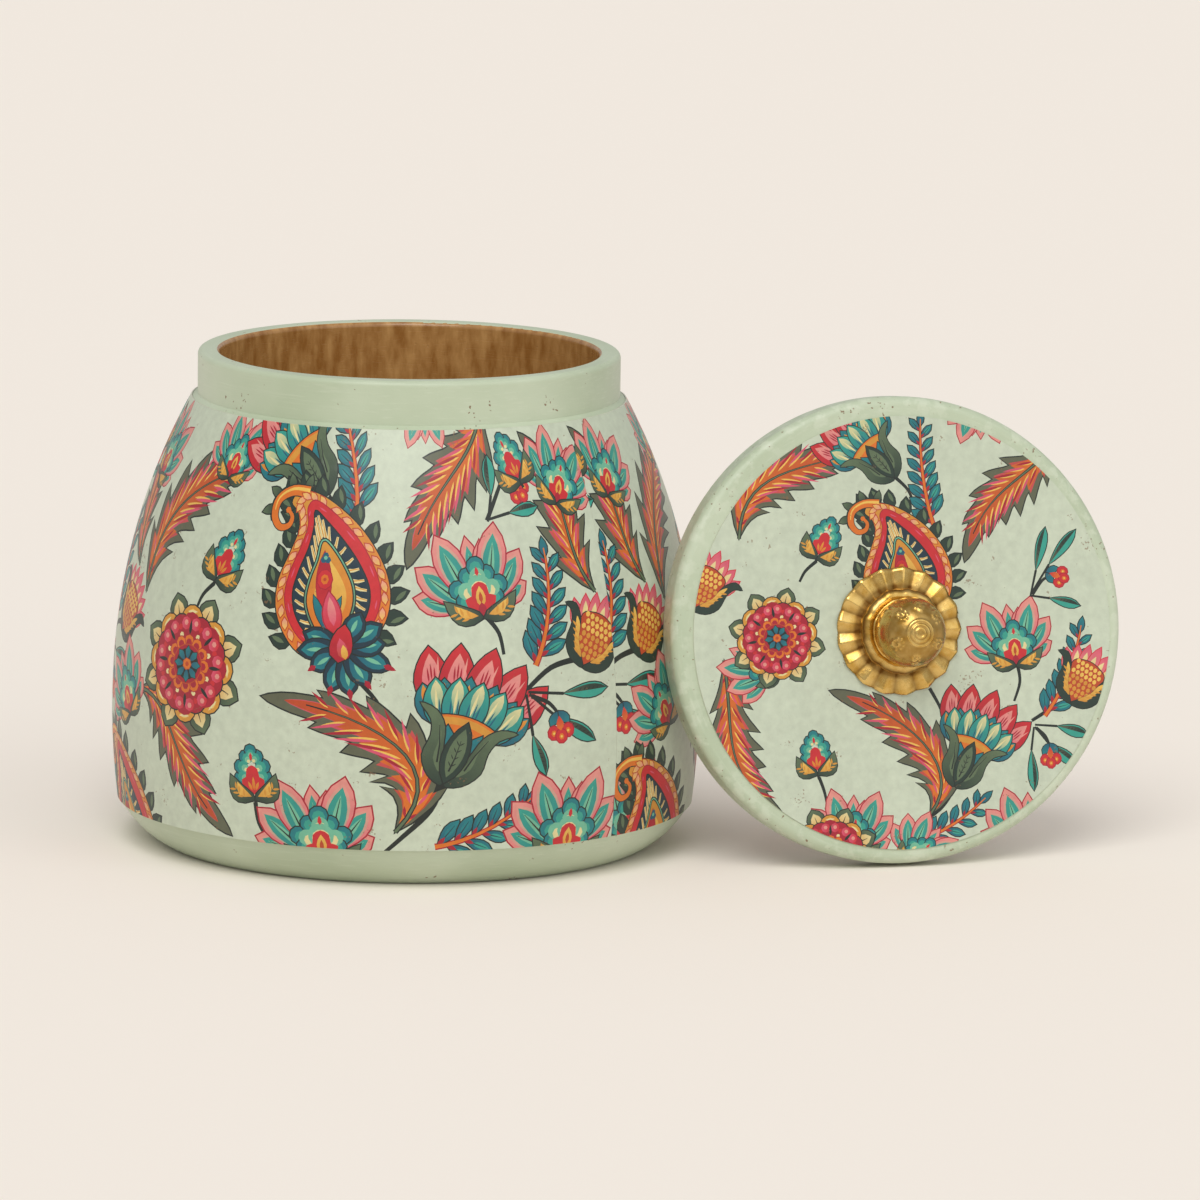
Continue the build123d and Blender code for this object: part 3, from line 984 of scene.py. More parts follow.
def long_leaf(pen, line, width):
    """A narrow leaf, half dark and half turquoise, on a thin stalk."""
    base, tip = line[len(line) // 3], line[-1]
    pen.line(line[: len(line) // 3 + 1], 0.5, 0.6)
    pen.shape(petal(base, tip, width, 0.6, 0.7), TURQUOISE, TURQUOISE)
    side = 1j * (tip - base) / abs(tip - base)
    outline = petal(base, tip, width * 0.8, 0.6, 0.7)
    pen.fill([base, *outline[len(outline) // 2:]], OLIVE, BOTTLE)
    for rib in range(5):
        start = base + (tip - base) * (0.34 + 0.1 * rib)
        pen.fill(petal(start, start + side * width * 0.26 + (tip - base) * 0.06, 0.2), INK)


def berries(pen):
    """Three red berries below a blue cap, hanging from the root."""
    for side in (-1, 1):
        pen.shape(petal(0, 2.3 * side - 2.9j, 2.0, 0.55, 0.6), BLUE, TEAL)
    for x, y in ((-1.7, -4.6), (1.7, -4.6), (0, -5.6)):
        pen.shape(disc(complex(x, y), 1.35, squash=1.15), RED, ink=CRIMSON)
        pen.fill(disc(complex(x, y - 0.1), 0.62, squash=1.2), ORANGE)
        pen.fill(disc(complex(x, y - 0.1), 0.3), YELLOW)
    pen.fill(petal(-1j, -4.4j, 1.8, 0.6), RED, ORANGE)


# %% The scaled flower and the stems
def thistle(pen):
    """A scaled orange head between two hooked sepals, with pale red-edged rays on top."""
    for angle in (-34, 34, -22, 22, -11, 11, 0):
        tip = polar(angle, 18.4 - abs(angle) * 0.07)
        pen.shape(petal(polar(angle, 7), tip, 3.4, 0.55, 0.8), PINK, ROSE, ink=RED)
        pen.fill(petal(polar(angle, 8), polar(angle, 15.4), 1.9, 0.5), YELLOW, STRAW)
    head = [0.6j, 3.4 + 3.2j, 5.0 + 7.4j, 5.2 + 11.2j, 3.0 + 12.6j, 13.2j, -3.0 + 12.6j,
            -5.2 + 11.2j, -5.0 + 7.4j, -3.4 + 3.2j]
    pen.shape(loop(head), RUST, RUST)
    for row in range(7):
        y = 2.8 + row * 1.5
        half = 4.3 * math.sin(min(1.0, (y + 1.5) / 9.5) * math.pi / 2)
        count = max(2, round(half * 1.3))
        for i in range(count):
            x = (i + 0.5 * (row % 2) + 0.25) / count * 2 * half - half
            if abs(x) < half:
                pen.fill(disc(complex(x, y), 0.62, squash=1.15), OCHRE if row < 4 else YELLOW)
    for side in (-1, 1):
        sepal = [0, 4.0 * side + 0.6j, 6.8 * side + 3.6j, 7.2 * side + 8.0j, 8.6 * side + 10.6j,
                 10.6 * side + 11.4j, 8.0 * side + 12.4j, 5.4 * side + 9.8j, 4.2 * side + 5.6j,
                 2.0 * side + 2.6j]
        pen.shape(loop(sepal), BOTTLE, BOTTLE)
        flame = [1.4 * side + 2.0j, 4.0 * side + 3.2j, 5.6 * side + 6.8j, 6.6 * side + 10.0j,
                 4.9 * side + 8.4j, 3.9 * side + 5.4j]
        pen.fill(loop(flame), OCHRE, YELLOW)
        for k in range(5):
            start = complex(2.4 * side + 0.75 * k * side, 2.4 + 1.35 * k)
            pen.fill(petal(start, start + 1.9 * side + 0.7j, 0.55), OCHRE)


def stem(pen, *points, first_width=0.9, last_width=0.6):
    """A thin dark stalk through a few points."""
    pen.line(smooth(points, 5), first_width, last_width)


for motif in (protea, lotus, cloud_bud, rosette, paisley, thistle, berries):
    trial = Sheet(-50, 50, -50, 50)
    motif(Pen(trial, 0))
    print(motif.__name__, "has", len(trial.shapes), "outlines")

# %% [markdown]
# ## Joining the outlines into a paper
# No mesh operator lays thousands of outlines over one another. A constrained triangulation does:
# it joins the edges of all outlines with some grid points, so that the paper can follow the jar's
# curve. Each outline in turn then paints the triangles whose middles it holds, so the last one
# laid stays on top.

# %% Triangles and what lies on top
NEARNESS = 1e-6


def triangles_of(outlines, loose):
    """Triangulates outlines and loose points; gives the points and the triangles."""
    points = []
    edges = []
    for outline in outlines:
        first = len(points)
        edges += [(first + i, first + (i + 1) % len(outline)) for i in range(len(outline))]
        points += outline
    points += loose
    vectors = [Vector((point.real, point.imag)) for point in points]
    result = delaunay_2d_cdt(vectors, edges, [], 0, NEARNESS, False)
    flat = numpy.array([complex(v.x, v.y) for v in result[0]])
    return flat, numpy.array(result[2])


def middles(flat, triangles):
    """The middle of each triangle."""
    return flat[triangles].mean(axis=1)


def winds_round(outline, points):
    """Tells which points lie inside an outline, whichever way it runs."""
    starts = numpy.array(outline)[:, None]
    ends = numpy.roll(starts, -1, axis=0)
    sides = ((ends - starts).conjugate() * (points - starts)).imag
    rising = (starts.imag <= points.imag) & (ends.imag > points.imag) & (sides > 0)
    falling = (starts.imag > points.imag) & (ends.imag <= points.imag) & (sides < 0)
    return rising.sum(axis=0) != falling.sum(axis=0)


def topmost(outlines, points):
    """The number of the last outline over each point, or -1 where there is none."""
    order = numpy.argsort(points.real)
    ranked = points.real[order]
    owner = numpy.full(len(points), -1)
    for number, outline in enumerate(outlines):
        xs = [point.real for point in outline]
        ys = [point.imag for point in outline]
        first, last = numpy.searchsorted(ranked, (min(xs), max(xs)))
        near = order[first:last]
        near = near[(points.imag[near] > min(ys)) & (points.imag[near] < max(ys))]
        owner[near[winds_round(outline, points[near])]] = number
    return owner


trial_outlines = [disc(0, 2, 8), disc(0, 1, 8)]
trial_owners = topmost(trial_outlines, middles(*triangles_of(trial_outlines, [])))
print("triangles of two discs:", (trial_owners == 0).sum(), "in the ring,",
      (trial_owners == 1).sum(), "in the middle")


# %% [markdown]
# ## A closed thin sheet
# The paint of the topmost outline goes into a colour attribute, corner by corner, so that a petal
# can fade from root to tip while its edge stays sharp. The cut edges are followed round, walls go
# down from them to the glued side, and a coarse back closes the sheet.

# %% Painting and closing
def paint_corners(owner, fades, corners):
    """The colour at each corner of each triangle."""
    colours = numpy.tile(numpy.array(GROUND), (*corners.shape, 1))
    order = numpy.argsort(owner)
    bounds = numpy.searchsorted(owner[order], range(len(fades) + 1))
    for number, (first, second, start, end) in enumerate(fades):
        mine = order[bounds[number]:bounds[number + 1]]
        along = end - start
        place = ((corners[mine] - start) * along.conjugate()).real / (abs(along) ** 2 or 1)
        place = numpy.clip(place, 0, 1)[..., None]
        colours[mine] = numpy.array(first) * (1 - place) + numpy.array(second) * place
    return colours


def trimmed(flat, triangles):
    """The points that the triangles use, and the triangles with those points' new numbers."""
    used = numpy.unique(triangles)
    number = numpy.full(len(flat), -1)
    number[used] = numpy.arange(len(used))
    return flat[used], number[triangles]


def cut_edges(triangles):
    """For each point on an edge of the paper, the point that follows it there."""
    sides = {(t[i], t[(i + 1) % 3]) for t in triangles.tolist() for i in range(3)}
    return {a: b for a, b in sides if (b, a) not in sides}


def rims_of(follows):
    """The edges of the paper as rings of points, the outer and longest one first."""
    rims = []
    left = dict(follows)
    while left:
        rim = [next(iter(left))]
        while rim[-1] in left:
            rim.append(left.pop(rim[-1]))
        rims.append(rim[:-1])
    return sorted(rims, key=len, reverse=True)


PAPER_THICKNESS = 0.25


def closed_sheet(flat, triangles, grid, place):
    """The spots and faces of the printed side, the walls and the glued side."""
    follows = cut_edges(triangles)
    below = {i: len(flat) + k for k, i in enumerate(follows)}
    spots = [place(point, 0) for point in flat.tolist()]
    spots += [place(complex(flat[i]), PAPER_THICKNESS) for i in follows]
    walls = [(b, a, below[a], below[b]) for a, b in follows.items()]

    rims = [[complex(flat[i]) for i in rim] for rim in rims_of(follows)]
    back_flat, back = triangles_of(rims, grid)
    back = back[topmost(rims, middles(back_flat, back)) == 0]
    known = {complex(flat[i]): below[i] for i in follows}
    for point in back_flat.tolist():
        if point not in known:
            known[point] = len(spots)
            spots.append(place(point, PAPER_THICKNESS))
    glued = [tuple(known[complex(back_flat[i])] for i in reversed(t)) for t in back.tolist()]
    return spots, [*map(tuple, triangles.tolist()), *walls, *glued]


# %% Cutting a paper
PAPER_EDGE = hue("D8D6C6")
SHARP_EDGE = math.radians(50)


def link_piece(name, mesh):
    """Puts a finished mesh in the scene as a piece."""
    piece = bpy.data.objects.new(name, mesh)
    bpy.context.collection.objects.link(piece)
    return piece


def cut_paper(name, border, holes, sheet, grid, place):
    """Makes the paper; place gives the spot in the room of a sheet point at a depth in mm."""
    outlines = [outline for outline, fade in sheet.shapes]
    fades = [fade for outline, fade in sheet.shapes]
    flat, triangles = triangles_of([border, *holes, *outlines], grid)
    on_paper = topmost([border, *holes], middles(flat, triangles)) == 0
    flat, triangles = trimmed(flat, triangles[on_paper])
    owner = topmost(outlines, middles(flat, triangles))
    colours = paint_corners(owner, fades, flat[triangles]).reshape(-1)

    mesh = bpy.data.meshes.new(name)
    spots, faces = closed_sheet(flat, triangles, grid, place)
    mesh.from_pydata(spots, [], faces)
    bare_corners = sum(len(face) for face in faces[len(triangles):])
    bare = numpy.tile(numpy.array(PAPER_EDGE), bare_corners)
    attribute = mesh.color_attributes.new("print", "FLOAT_COLOR", "CORNER")
    attribute.data.foreach_set("color", numpy.concatenate([colours, bare]))
    mesh.shade_smooth()
    mesh.set_sharp_from_angle(angle=SHARP_EDGE)
    print(name, len(outlines), "outlines,", len(mesh.polygons), "faces")
    return link_piece(name, mesh)


def grid_points(left, right, low, high, step):
    """Loose points about a step apart, which let the paper bend."""
    columns = math.ceil((right - left) / step)
    rows = math.ceil((high - low) / step)
    return [
        complex(left + (right - left) * (i + 0.5) / columns, low + (high - low) * (j + 0.5) / rows)
        for i in range(columns)
        for j in range(rows)
    ]


# %% [markdown]
# ## Varnish over the print
# The real paper was varnished with a brush after it was glued, which left faint streaks and a few
# specks of dust. The print's own colours come from the mesh, and noise on the object's own
# coordinates darkens and roughens them a little.

# %% Varnished paper
def printed_paper():
    """The print's own colours under a thin varnish with a fine cloth-like grain."""
    finish = Finish("printed_paper")
    place = finish.place()
    printed = finish.node("ShaderNodeVertexColor", {"layer_name": "print"})
    cloud = finish.noise(place, 70, 4)
    fibre = finish.noise(place, 2600, 3)
    brush = finish.noise(place, 620, 4)
    shade = finish.ramp(brush, (0.3, 0.86), (0.72, 1.0))
    tone = finish.mix(1.0, printed, shade, "MULTIPLY")
    tone = finish.mix(1.0, tone, finish.ramp(cloud, (0.3, 0.93), (0.7, 1.0)), "MULTIPLY")
    dust = finish.noise(place, 1900, 1) * finish.noise(place, 260, 1)
    specks = finish.ramp(dust, (0.45, 0.0), (0.48, 1.0))
    tone = finish.mix(specks * 0.6, tone, CHIP)
    return finish.surface(
        Base_Color=tone,
        Roughness=0.36 + brush * 0.16,
        Normal=finish.bump(fibre * 0.5 + brush * 0.6, 0.00004),
        Coat_Weight=0.14,
        Coat_Roughness=0.22,
    )


paper_finish = printed_paper()
print("paper finish:", paper_finish.name)

# %% [markdown]
# ## The shape of the jar's side
# The flat sheet is measured round the jar at a middling radius and up the jar's axis. The side's
# true radius at each height is read from the frame, by casting rays at the wrap's own solid. A
# ray starts in front of the jar and passes just beside the axis, where no two faces meet.

# %% The side of the jar
RADIUS_STEP = 0.5
EDGE_INSET = 0.01
RAY_ASIDE = 0.0003
RAY_START = -0.1
wrap_low, wrap_high = (corner[2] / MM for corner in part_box("body_print"))
wrap_faces = [list(face.vertices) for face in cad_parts["body_print"].data.polygons]
wrap_tree = BVHTree.FromPolygons(points_of("body_print"), wrap_faces)


def side_radius(height):
    """The wrap's outer radius at a height, in mm."""
    height = clamp(height, wrap_low + EDGE_INSET, wrap_high - EDGE_INSET)
    hit = wrap_tree.ray_cast(Vector((RAY_ASIDE, RAY_START, height * MM)), Vector((0, 1, 0)))[0]
    return math.hypot(hit.x, hit.y) / MM


radius_count = math.ceil((wrap_high - wrap_low) / RADIUS_STEP)
radius_table = [side_radius(wrap_low + (wrap_high - wrap_low) * i / radius_count)
                for i in range(radius_count + 1)]
print("the wrap is", round(wrap_high - wrap_low, 1), "mm tall, radius", round(min(radius_table), 1),
      "to", round(max(radius_table), 1), "mm")

# %% [markdown]
# ## The pattern on the jar
# The sheet starts and ends at the seam on the right of the front, where the pattern doesn't meet
# itself. One repeat is about a third of the way round, and its motifs are laid from the lowest to
# the topmost: stalks, big leaves, flowers, and last the small things between them.

# %% One repeat on the jar
SHEET_RADIUS = 52.0


def on_jar(point, depth):
    """The spot on the jar of a point of the sheet, at a depth below the paper's face."""
    place = (point.imag - wrap_low) / (wrap_high - wrap_low) * radius_count
    low = clamp(int(place), 0, radius_count - 1)
    radius = radius_table[low] + (radius_table[low + 1] - radius_table[low]) * (place - low) - depth
    angle = point.real / SHEET_RADIUS
    return Vector((radius * math.sin(angle), -radius * math.cos(angle), point.imag)) * MM


def jar_cell(sheet, shift):
    """One repeat of the pattern on the jar. Places are in mm: round the jar, and up it."""
    def pen(x, y, turn=0.0, size=1.0):
        return Pen(sheet, complex(x + shift, y), turn, size)

    bare = pen(0, 0)
    stem(bare, -15.5 + 72.6j, -11.6 + 69.2j, -8.6 + 64.6j)
    stem(bare, -38.0 + 55.0j, -40.4 + 52.6j, -41.6 + 49.8j)
    stem(bare, -8.0 + 40.4j, -4.2 + 36.2j, -1.6 + 31.4j)
    stem(bare, 15.6 + 51.4j, 17.8 + 48.4j, 18.6 + 44.4j)
    stem(bare, 7.6 + 21.4j, 5.4 + 15.6j, 0.6 + 10.4j, -3.6 + 6.4j, first_width=1.4)
    stem(bare, -26.2 + 15.4j, -25.6 + 11.4j, -23.6 + 8.0j)
    stem(bare, 22.4 + 37.4j, 27.6 + 41.4j, 33.6 + 42.6j, first_width=0.8, last_width=1.2)
    acanthus(bare, bow(-59 + 50.4j, -60 + 68j, -48 + 72j, -33.4 + 77.4j), 15.0, 6, 0.95)
    acanthus(bare, bow(18.6 + 88j, 15 + 78j, 5 + 76j, 1.0 + 60.4j), 14.5, 6, 0.9)
    acanthus(bare, bow(-0.6 + 11.4j, 10.6 + 24j, -4 + 35j, -25.2 + 35.6j), 15.5, 6, 0.8)
    acanthus(bare, bow(-56.5 + 32.6j, -44 + 33j, -46 + 18j, -31.6 + 8.4j), 14.5, 6, 0.8)
    acanthus(bare, bow(38.8 + 54.4j, 31 + 64j, 38 + 74j, 27.4 + 83.6j), 13.0, 5, 0.8)
    lotus(pen(4.5, 92.0, 178, 0.62))
    lotus(pen(-41.0, 73.5, -12, 0.72))
    lotus(pen(33.0, 70.5, -28, 0.8))
    fern(pen(-9.2, 68.6, 17), 21.5, 7)
    fern(pen(24.6, 42.0, -10), 21.5, 7)
    fern(pen(6.4, 8.6, -63), 20, 6)
    protea(pen(7.6, 20.6, -21, 0.98))
    protea(pen(-16.0, 72.8, 44, 0.9))
    lotus(pen(15.2, 51.0, 7, 0.98))
    lotus(pen(-13.4, 4.2, 4, 1.0))
    lotus(pen(31.2, 4.6, -4, 1.02))
    lotus(pen(-60.5, 26.5, 30, 0.85))
    cloud_bud(pen(-38.0, 55.4, -24, 0.92))
    cloud_bud(pen(-26.2, 15.8, 6, 0.92))
    rosette(pen(-42.4, 39.4, 0, 1.08))
    paisley(pen(-10.2, 45.6, 0, 0.97))
    paisley(pen(-60.5, -6.0, 0, 0.97))
    thistle(pen(34.2, 40.8, -32, 0.8))
    stem(bare, 17.0 + 68.6j, 20.6 + 74.6j, 24.0 + 79.0j)
    long_leaf(bare, [17.2 + 68.4j, 18.4 + 73j, 18.6 + 80.0j], 2.6)
    long_leaf(bare, [17.4 + 68.8j, 22.0 + 69.8j, 28.4 + 70.6j], 2.4)
    berries(pen(22.6, 76.2, 40, 0.8))
    cloud_bud(pen(25.6, 74.8, 22, 0.85))
    long_leaf(bare, [23.0 + 37.2j, 30 + 36.4j, 39.6 + 36.6j], 2.8)
    long_leaf(bare, [23.2 + 36.8j, 28.6 + 32.0j, 36.6 + 27.0j], 2.8)
    long_leaf(bare, [22.6 + 36.8j, 23.8 + 29.0j, 26.4 + 21.4j], 2.4)
    stem(bare, 23.6 + 36.4j, 26.8 + 35.0j, 28.8 + 32.8j)
    berries(pen(28.8, 33.2, 8, 0.85))


print("the point (0, 50) of the sheet lies at", [round(v, 4) for v in on_jar(50j, 0)])

# %% [markdown]
# ## Gluing it on
# The print round the jar is fine enough to need hundreds of thousands of triangles. It is cut in
# three upright strips, a hair apart, which keeps each piece light.

# %% The wrap
SEAM_TURN = math.radians(46)
SEAM_GAP = 0.04
REPEAT = 104.0
REPEAT_REACH = 60
WRAP_GRID = 3.2
EDGE_STEP = 2.0
STRIPS = 3
wrap_right = SEAM_TURN * SHEET_RADIUS
wrap_left = wrap_right - 2 * math.pi * SHEET_RADIUS


def edge_points(start, end):
    """Points along a straight edge of the sheet, close enough to follow the jar."""
    count = math.ceil(abs(end - start) / EDGE_STEP)
    return [start + (end - start) * i / count for i in range(count)]


def glue_strip(name, left, right):
    """Cuts one strip of the wrap and puts it on the jar."""
    corners = [complex(left, wrap_low), complex(right, wrap_low),
               complex(right, wrap_high), complex(left, wrap_high)]
    border = [p for a, b in zip(corners, corners[1:] + corners[:1]) for p in edge_points(a, b)]
    strip = Sheet(left, right, wrap_low, wrap_high)
    for repeat in range(math.floor((wrap_left - REPEAT_REACH) / REPEAT), 1):
        jar_cell(strip, REPEAT * repeat)
    grid = grid_points(left, right, wrap_low, wrap_high, WRAP_GRID)
    piece = cut_paper(name, border, [], strip, grid, on_jar)
    piece.data.materials.append(paper_finish)
    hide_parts("body_print")
    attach(piece, "jar")


strip_width = (wrap_right - wrap_left) / STRIPS
for number in range(STRIPS):
    strip_left = wrap_left + number * strip_width
    strip_right = strip_left + strip_width
    glue_strip(f"jar_print_{number + 1}", strip_left + SEAM_GAP / 2, strip_right - SEAM_GAP / 2)

# %% [markdown]
# ## The paper on the lid
# The same motifs, about a quarter smaller, are laid out round the knob. The disc was stuck on a
# little off centre, so its middle is read from the frame. It has a hole for the knob's screw.

# %% The lid's disc
HOLE_RADIUS = 2.2
lid_print_middle = middle_of("lid_print")
low_face, high_face = reach_of("lid_print")
paper_half = (high_face - low_face) / 2
disc_radius = half_width("lid_print", lid_print_middle)
hole_centre = lid_axis_point - lid_print_middle
hole_spot = complex(hole_centre.dot(lid_side), hole_centre.dot(lid_up)) / MM


def on_lid(point, depth):
    """The spot in the room of a point of the lid's paper."""
    return (lid_print_middle + (lid_side * point.real + lid_up * point.imag) * MM
            + lid_normal * (paper_half - depth * MM))


print("the disc's radius is", round(disc_radius, 1), "mm, its hole is at", hole_spot)

# %% The lid's pattern
LID_SCALE = 0.77


def lid_layout(sheet):
    """The lid's motifs. Places are in mm from the middle of the disc."""
    def pen(x, y, turn=0.0, size=1.0):
        return Pen(sheet, complex(x, y), turn, size * LID_SCALE)

    def path(*points):
        return [point / LID_SCALE for point in points]

    def spine(*points):
        return path(*bow(*points))

    bare = pen(0, 0)
    stem(bare, *path(-1 + 29.4j, 1.6 + 26.8j, 2.8 + 23.6j))
    stem(bare, *path(-16.6 + 14.0j, -18.8 + 12.2j, -20.0 + 10.2j))
    stem(bare, *path(5.0 - 10.6j, 7.2 - 14.8j, 7.6 - 18.0j))
    stem(bare, *path(22.4 - 6.8j, 22.8 - 10.0j, 21.6 - 13.6j))
    stem(bare, *path(9.6 - 29.2j, 6.6 - 33.4j, 1.6 - 36.6j), first_width=1.4)
    stem(bare, *path(-17.0 - 26.6j, -16.0 - 29.4j, -15.4 - 32.6j))
    stem(bare, *path(25.0 - 17.4j, 28.8 - 15.4j, 32.6 - 14.6j), first_width=0.8, last_width=1.2)
    acanthus(bare, spine(-31.6 + 18.6j, -31 + 32j, -19 + 31j, -6.6 + 34.6j), 15.0, 6, 0.95)
    acanthus(bare, spine(31.4 + 35.4j, 24 + 27j, 16 + 27j, 12.4 + 13.0j), 15.0, 6, 0.9)
    acanthus(bare, spine(4.6 - 34.4j, 12 - 26j, 1 - 15j, -14.6 - 10.4j), 15.5, 6, 0.8)
    acanthus(bare, spine(-35 - 4j, -33 - 20j, -37 - 24j, -22.4 - 36.4j), 14.5, 6, 0.8)
    fern(pen(6.4, 20.2, 6), 26, 8, -1.5)
    fern(pen(27.6, -16.6, -24), 24, 7)
    fern(pen(0.6, -39.6, -62), 22, 6)
    protea(pen(9.6, -29.2, -26, 0.94))
    protea(pen(-1.0, 29.2, 42, 0.86))
    lotus(pen(16.0, 45.6, 176, 0.8))
    lotus(pen(22.2, -7.2, 4, 1.0))
    lotus(pen(24.0, -43.0, -4, 1.0))
    lotus(pen(-11.0, -42.0, -8, 0.98))
    lotus(pen(0.0, -44.0, -48, 0.8))
    lotus(pen(-24.0, -6.2, 62, 0.9))
    cloud_bud(pen(-16.6, 14.4, -24, 0.96))
    cloud_bud(pen(-17.2, -26.2, 6, 0.96))
    thistle(pen(-41.0, 5.6, -28, 0.86))
    thistle(pen(32.6, -14.4, -32, 0.86))
    rosette(pen(-24.6, -0.2, 8, 1.0))
    rosette(pen(-15.0, -41.4, 0, 0.98))
    paisley(pen(3.4, 2.6, 0, 1.0))
    long_leaf(bare, path(25.2 + 6.0j, 26.4 + 11j, 28.4 + 19.0j), 2.6)
    long_leaf(bare, path(25.4 + 6.6j, 29 + 12j, 34.4 + 18.4j), 2.6)
    long_leaf(bare, path(25.4 + 6.2j, 29 + 5.6j, 35.0 + 4.0j), 2.4)
    stem(bare, *path(25.6 + 6.4j, 27.6 + 9.0j, 29.2 + 9.8j))
    berries(pen(28.4, 10.6, 70, 0.86))
    long_leaf(bare, path(25.6 - 18.2j, 30 - 18.6j, 36.0 - 20.4j), 2.8)
    long_leaf(bare, path(25.6 - 18.6j, 28.4 - 22.0j, 33.6 - 26.0j), 2.8)
    long_leaf(bare, path(25.4 - 18.6j, 24.8 - 23.0j, 25.2 - 30.6j), 2.4)
    stem(bare, *path(25.8 - 18.8j, 27.6 - 20.4j, 28.4 - 22.2j))
    berries(pen(28.4, -21.8, 4, 0.86))


# %% The lid's paper
DISC_SIDES = 220
HOLE_SIDES = 32
LID_GRID = 6
LID_MARGIN = 2
lid_square = (-disc_radius, disc_radius, -disc_radius, disc_radius)
lid_sheet = Sheet(*lid_square)
lid_layout(lid_sheet)
lid_border = disc(0, disc_radius, DISC_SIDES)
lid_hole = disc(hole_spot, HOLE_RADIUS, HOLE_SIDES)
lid_grid = [p for p in grid_points(*lid_square, LID_GRID) if abs(p) < disc_radius - LID_MARGIN]
lid_disc_print = cut_paper("lid_disc_print", lid_border, [lid_hole], lid_sheet, lid_grid, on_lid)
lid_disc_print.data.materials.append(paper_finish)
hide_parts("lid_print")
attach(lid_disc_print, "lid")

# %% [markdown]
# ## The brass knob
# The knob is three thin stamped pieces on one screw: a pleated rose, a rolled collar and a ball.
# Each is a profile spun round the lid's axis, whose points are then pushed in or out by a small
# rule. How deep each hollow lies is kept in an attribute, which paints shade into the brass there.

# %% Stamped pieces
SAME_SPOT = 1e-5


def spun(name, profile, steps, press, closed=True):
    """Spins a profile of (radius, height) in mm; press gives each point its place and painted shade."""
    shape = bmesh.new()
    verts = [shape.verts.new((radius, 0, height)) for radius, height in profile]
    edges = [shape.edges.new(pair) for pair in zip(verts, verts[1:])]
    if closed:
        edges.append(shape.edges.new((verts[-1], verts[0])))
    bmesh.ops.spin(
        shape, geom=verts + edges, cent=(0, 0, 0), axis=(0, 0, 1),
        angle=2 * math.pi, steps=steps, use_merge=True,
    )
    bmesh.ops.remove_doubles(shape, verts=shape.verts, dist=SAME_SPOT)
    # The painted shade of each point, which darkens the brass in its hollows.
    hollow = shape.verts.layers.float.new("hollow")
    for vert in shape.verts:
        radius = math.hypot(vert.co.x, vert.co.y)
        angle = math.atan2(vert.co.y, vert.co.x)
        (radius, height), vert[hollow] = press(radius, angle, vert.co.z)
        local = Vector((radius * math.cos(angle), radius * math.sin(angle), height))
        vert.co = lid_axis_point + lid_turned @ local * MM
    bmesh.ops.recalc_face_normals(shape, faces=shape.faces)
    mesh = bpy.data.meshes.new(name)
    shape.to_mesh(mesh)
    shape.free()
    mesh.shade_smooth()
    print(name, len(mesh.polygons), "faces")
    return link_piece(name, mesh)


def gauss(distance, width):
    """A smooth hump: 1 where distance is nothing, and gone after about two widths."""
    return math.exp(-((distance / width) ** 2))


# %% [markdown]
# ## Old brass
# The brass is bright where it is touched, and painted shade darkens it brown in its creases.
# The attribute of the hollows mixes in that painted shade and dulls the gloss.

# %% Brass
BRASS = hue("CBA04C")
BRASS_PALE = hue("E2BF74")
# Brown painted shade for the knob's creases and hollows.
BRASS_CREASE_SHADE = hue("6E4A1E")


def brass():
    """Warm lacquered brass with brown painted shade in its hollows, and fine rubbed marks."""
    finish = Finish("polished_brass")
    place = finish.place()
    hollow = finish.node("ShaderNodeAttribute", {"attribute_name": "hollow"}, output="Fac")
    cloud = finish.noise(place, 420, 4)
    rub = finish.noise(place, 1800, 3)
    tone = finish.mix(finish.ramp(cloud, (0.4, 0.0), (0.66, 1.0)), BRASS_PALE, BRASS)
    # Painted shade: the hollows darken towards brown.
    tone = finish.mix(hollow * finish.ramp(cloud, (0.3, 0.7), (0.7, 1.0)), tone, BRASS_CREASE_SHADE)
    return finish.surface(
        Base_Color=tone,
        Metallic=1.0,
        Roughness=hollow * 0.28 + cloud * 0.16 + 0.12,
        Normal=finish.bump(cloud * 0.7 + rub * 0.3, 0.00006),
    )


brass_finish = brass()
print("knob finish:", brass_finish.name)

# %% [markdown]
# ## The rose
# The rose is a thin disc with pleats pressed out towards its rim. Each pleat lifts the rim and
# draws it in a little, and a slight unevenness keeps it from looking machined. Its hole and the
# collar's pass round the screw.

# %% The rose
SCREW_HOLE = 2.4
FOOT_LIFT = 0.05
ROSE_PLEATS = 17
STEPS_IN_PLEAT = 12
PLEAT_START = 5.0
PLEAT_LENGTH = 5.0
PLEAT_RISE = 0.7
PLEAT_PULL = 0.03
ROSE_MARGIN = 0.02
ROSE_STEPS = 14
ROSE_RIM = 0.62
ROSE_DOME = 0.8
# A ring of painted shade on the rose, next to the collar's roll.
GROOVE_SHADE_RADIUS = 8.3
GROOVE_SHADE_WIDTH = 0.8
rose_low, rose_high = (place / MM for place in reach_of("knob_rose"))
rose_radius = half_width("knob_rose", lid_axis_point)


def press_rose(radius, angle, height):
    """Pleats that lift the rose and draw it in towards its rim."""
    wave = abs((angle / (2 * math.pi) * ROSE_PLEATS) % 1 - 0.5) * 2
    reach = clamp((radius - PLEAT_START) / PLEAT_LENGTH)
    ripple = 0.06 * math.sin(5 * angle + 1) + 0.05 * math.sin(11 * angle)
    lifted = height + (wave - 0.5) * PLEAT_RISE * reach + ripple * reach
    lifted = clamp(lifted, rose_low + ROSE_MARGIN, rose_high - ROSE_MARGIN)
    pulled = radius * (1 - PLEAT_PULL * (1 - wave) * reach + 0.006 * reach * math.sin(3 * angle))
    # Painted shade in the valleys of the pleats and in a narrow ring next to the collar's roll.
    hollow = (1 - wave) ** 3 * reach * 0.75 + gauss(radius - GROOVE_SHADE_RADIUS, GROOVE_SHADE_WIDTH)
    return (min(pulled, rose_radius), lifted), hollow


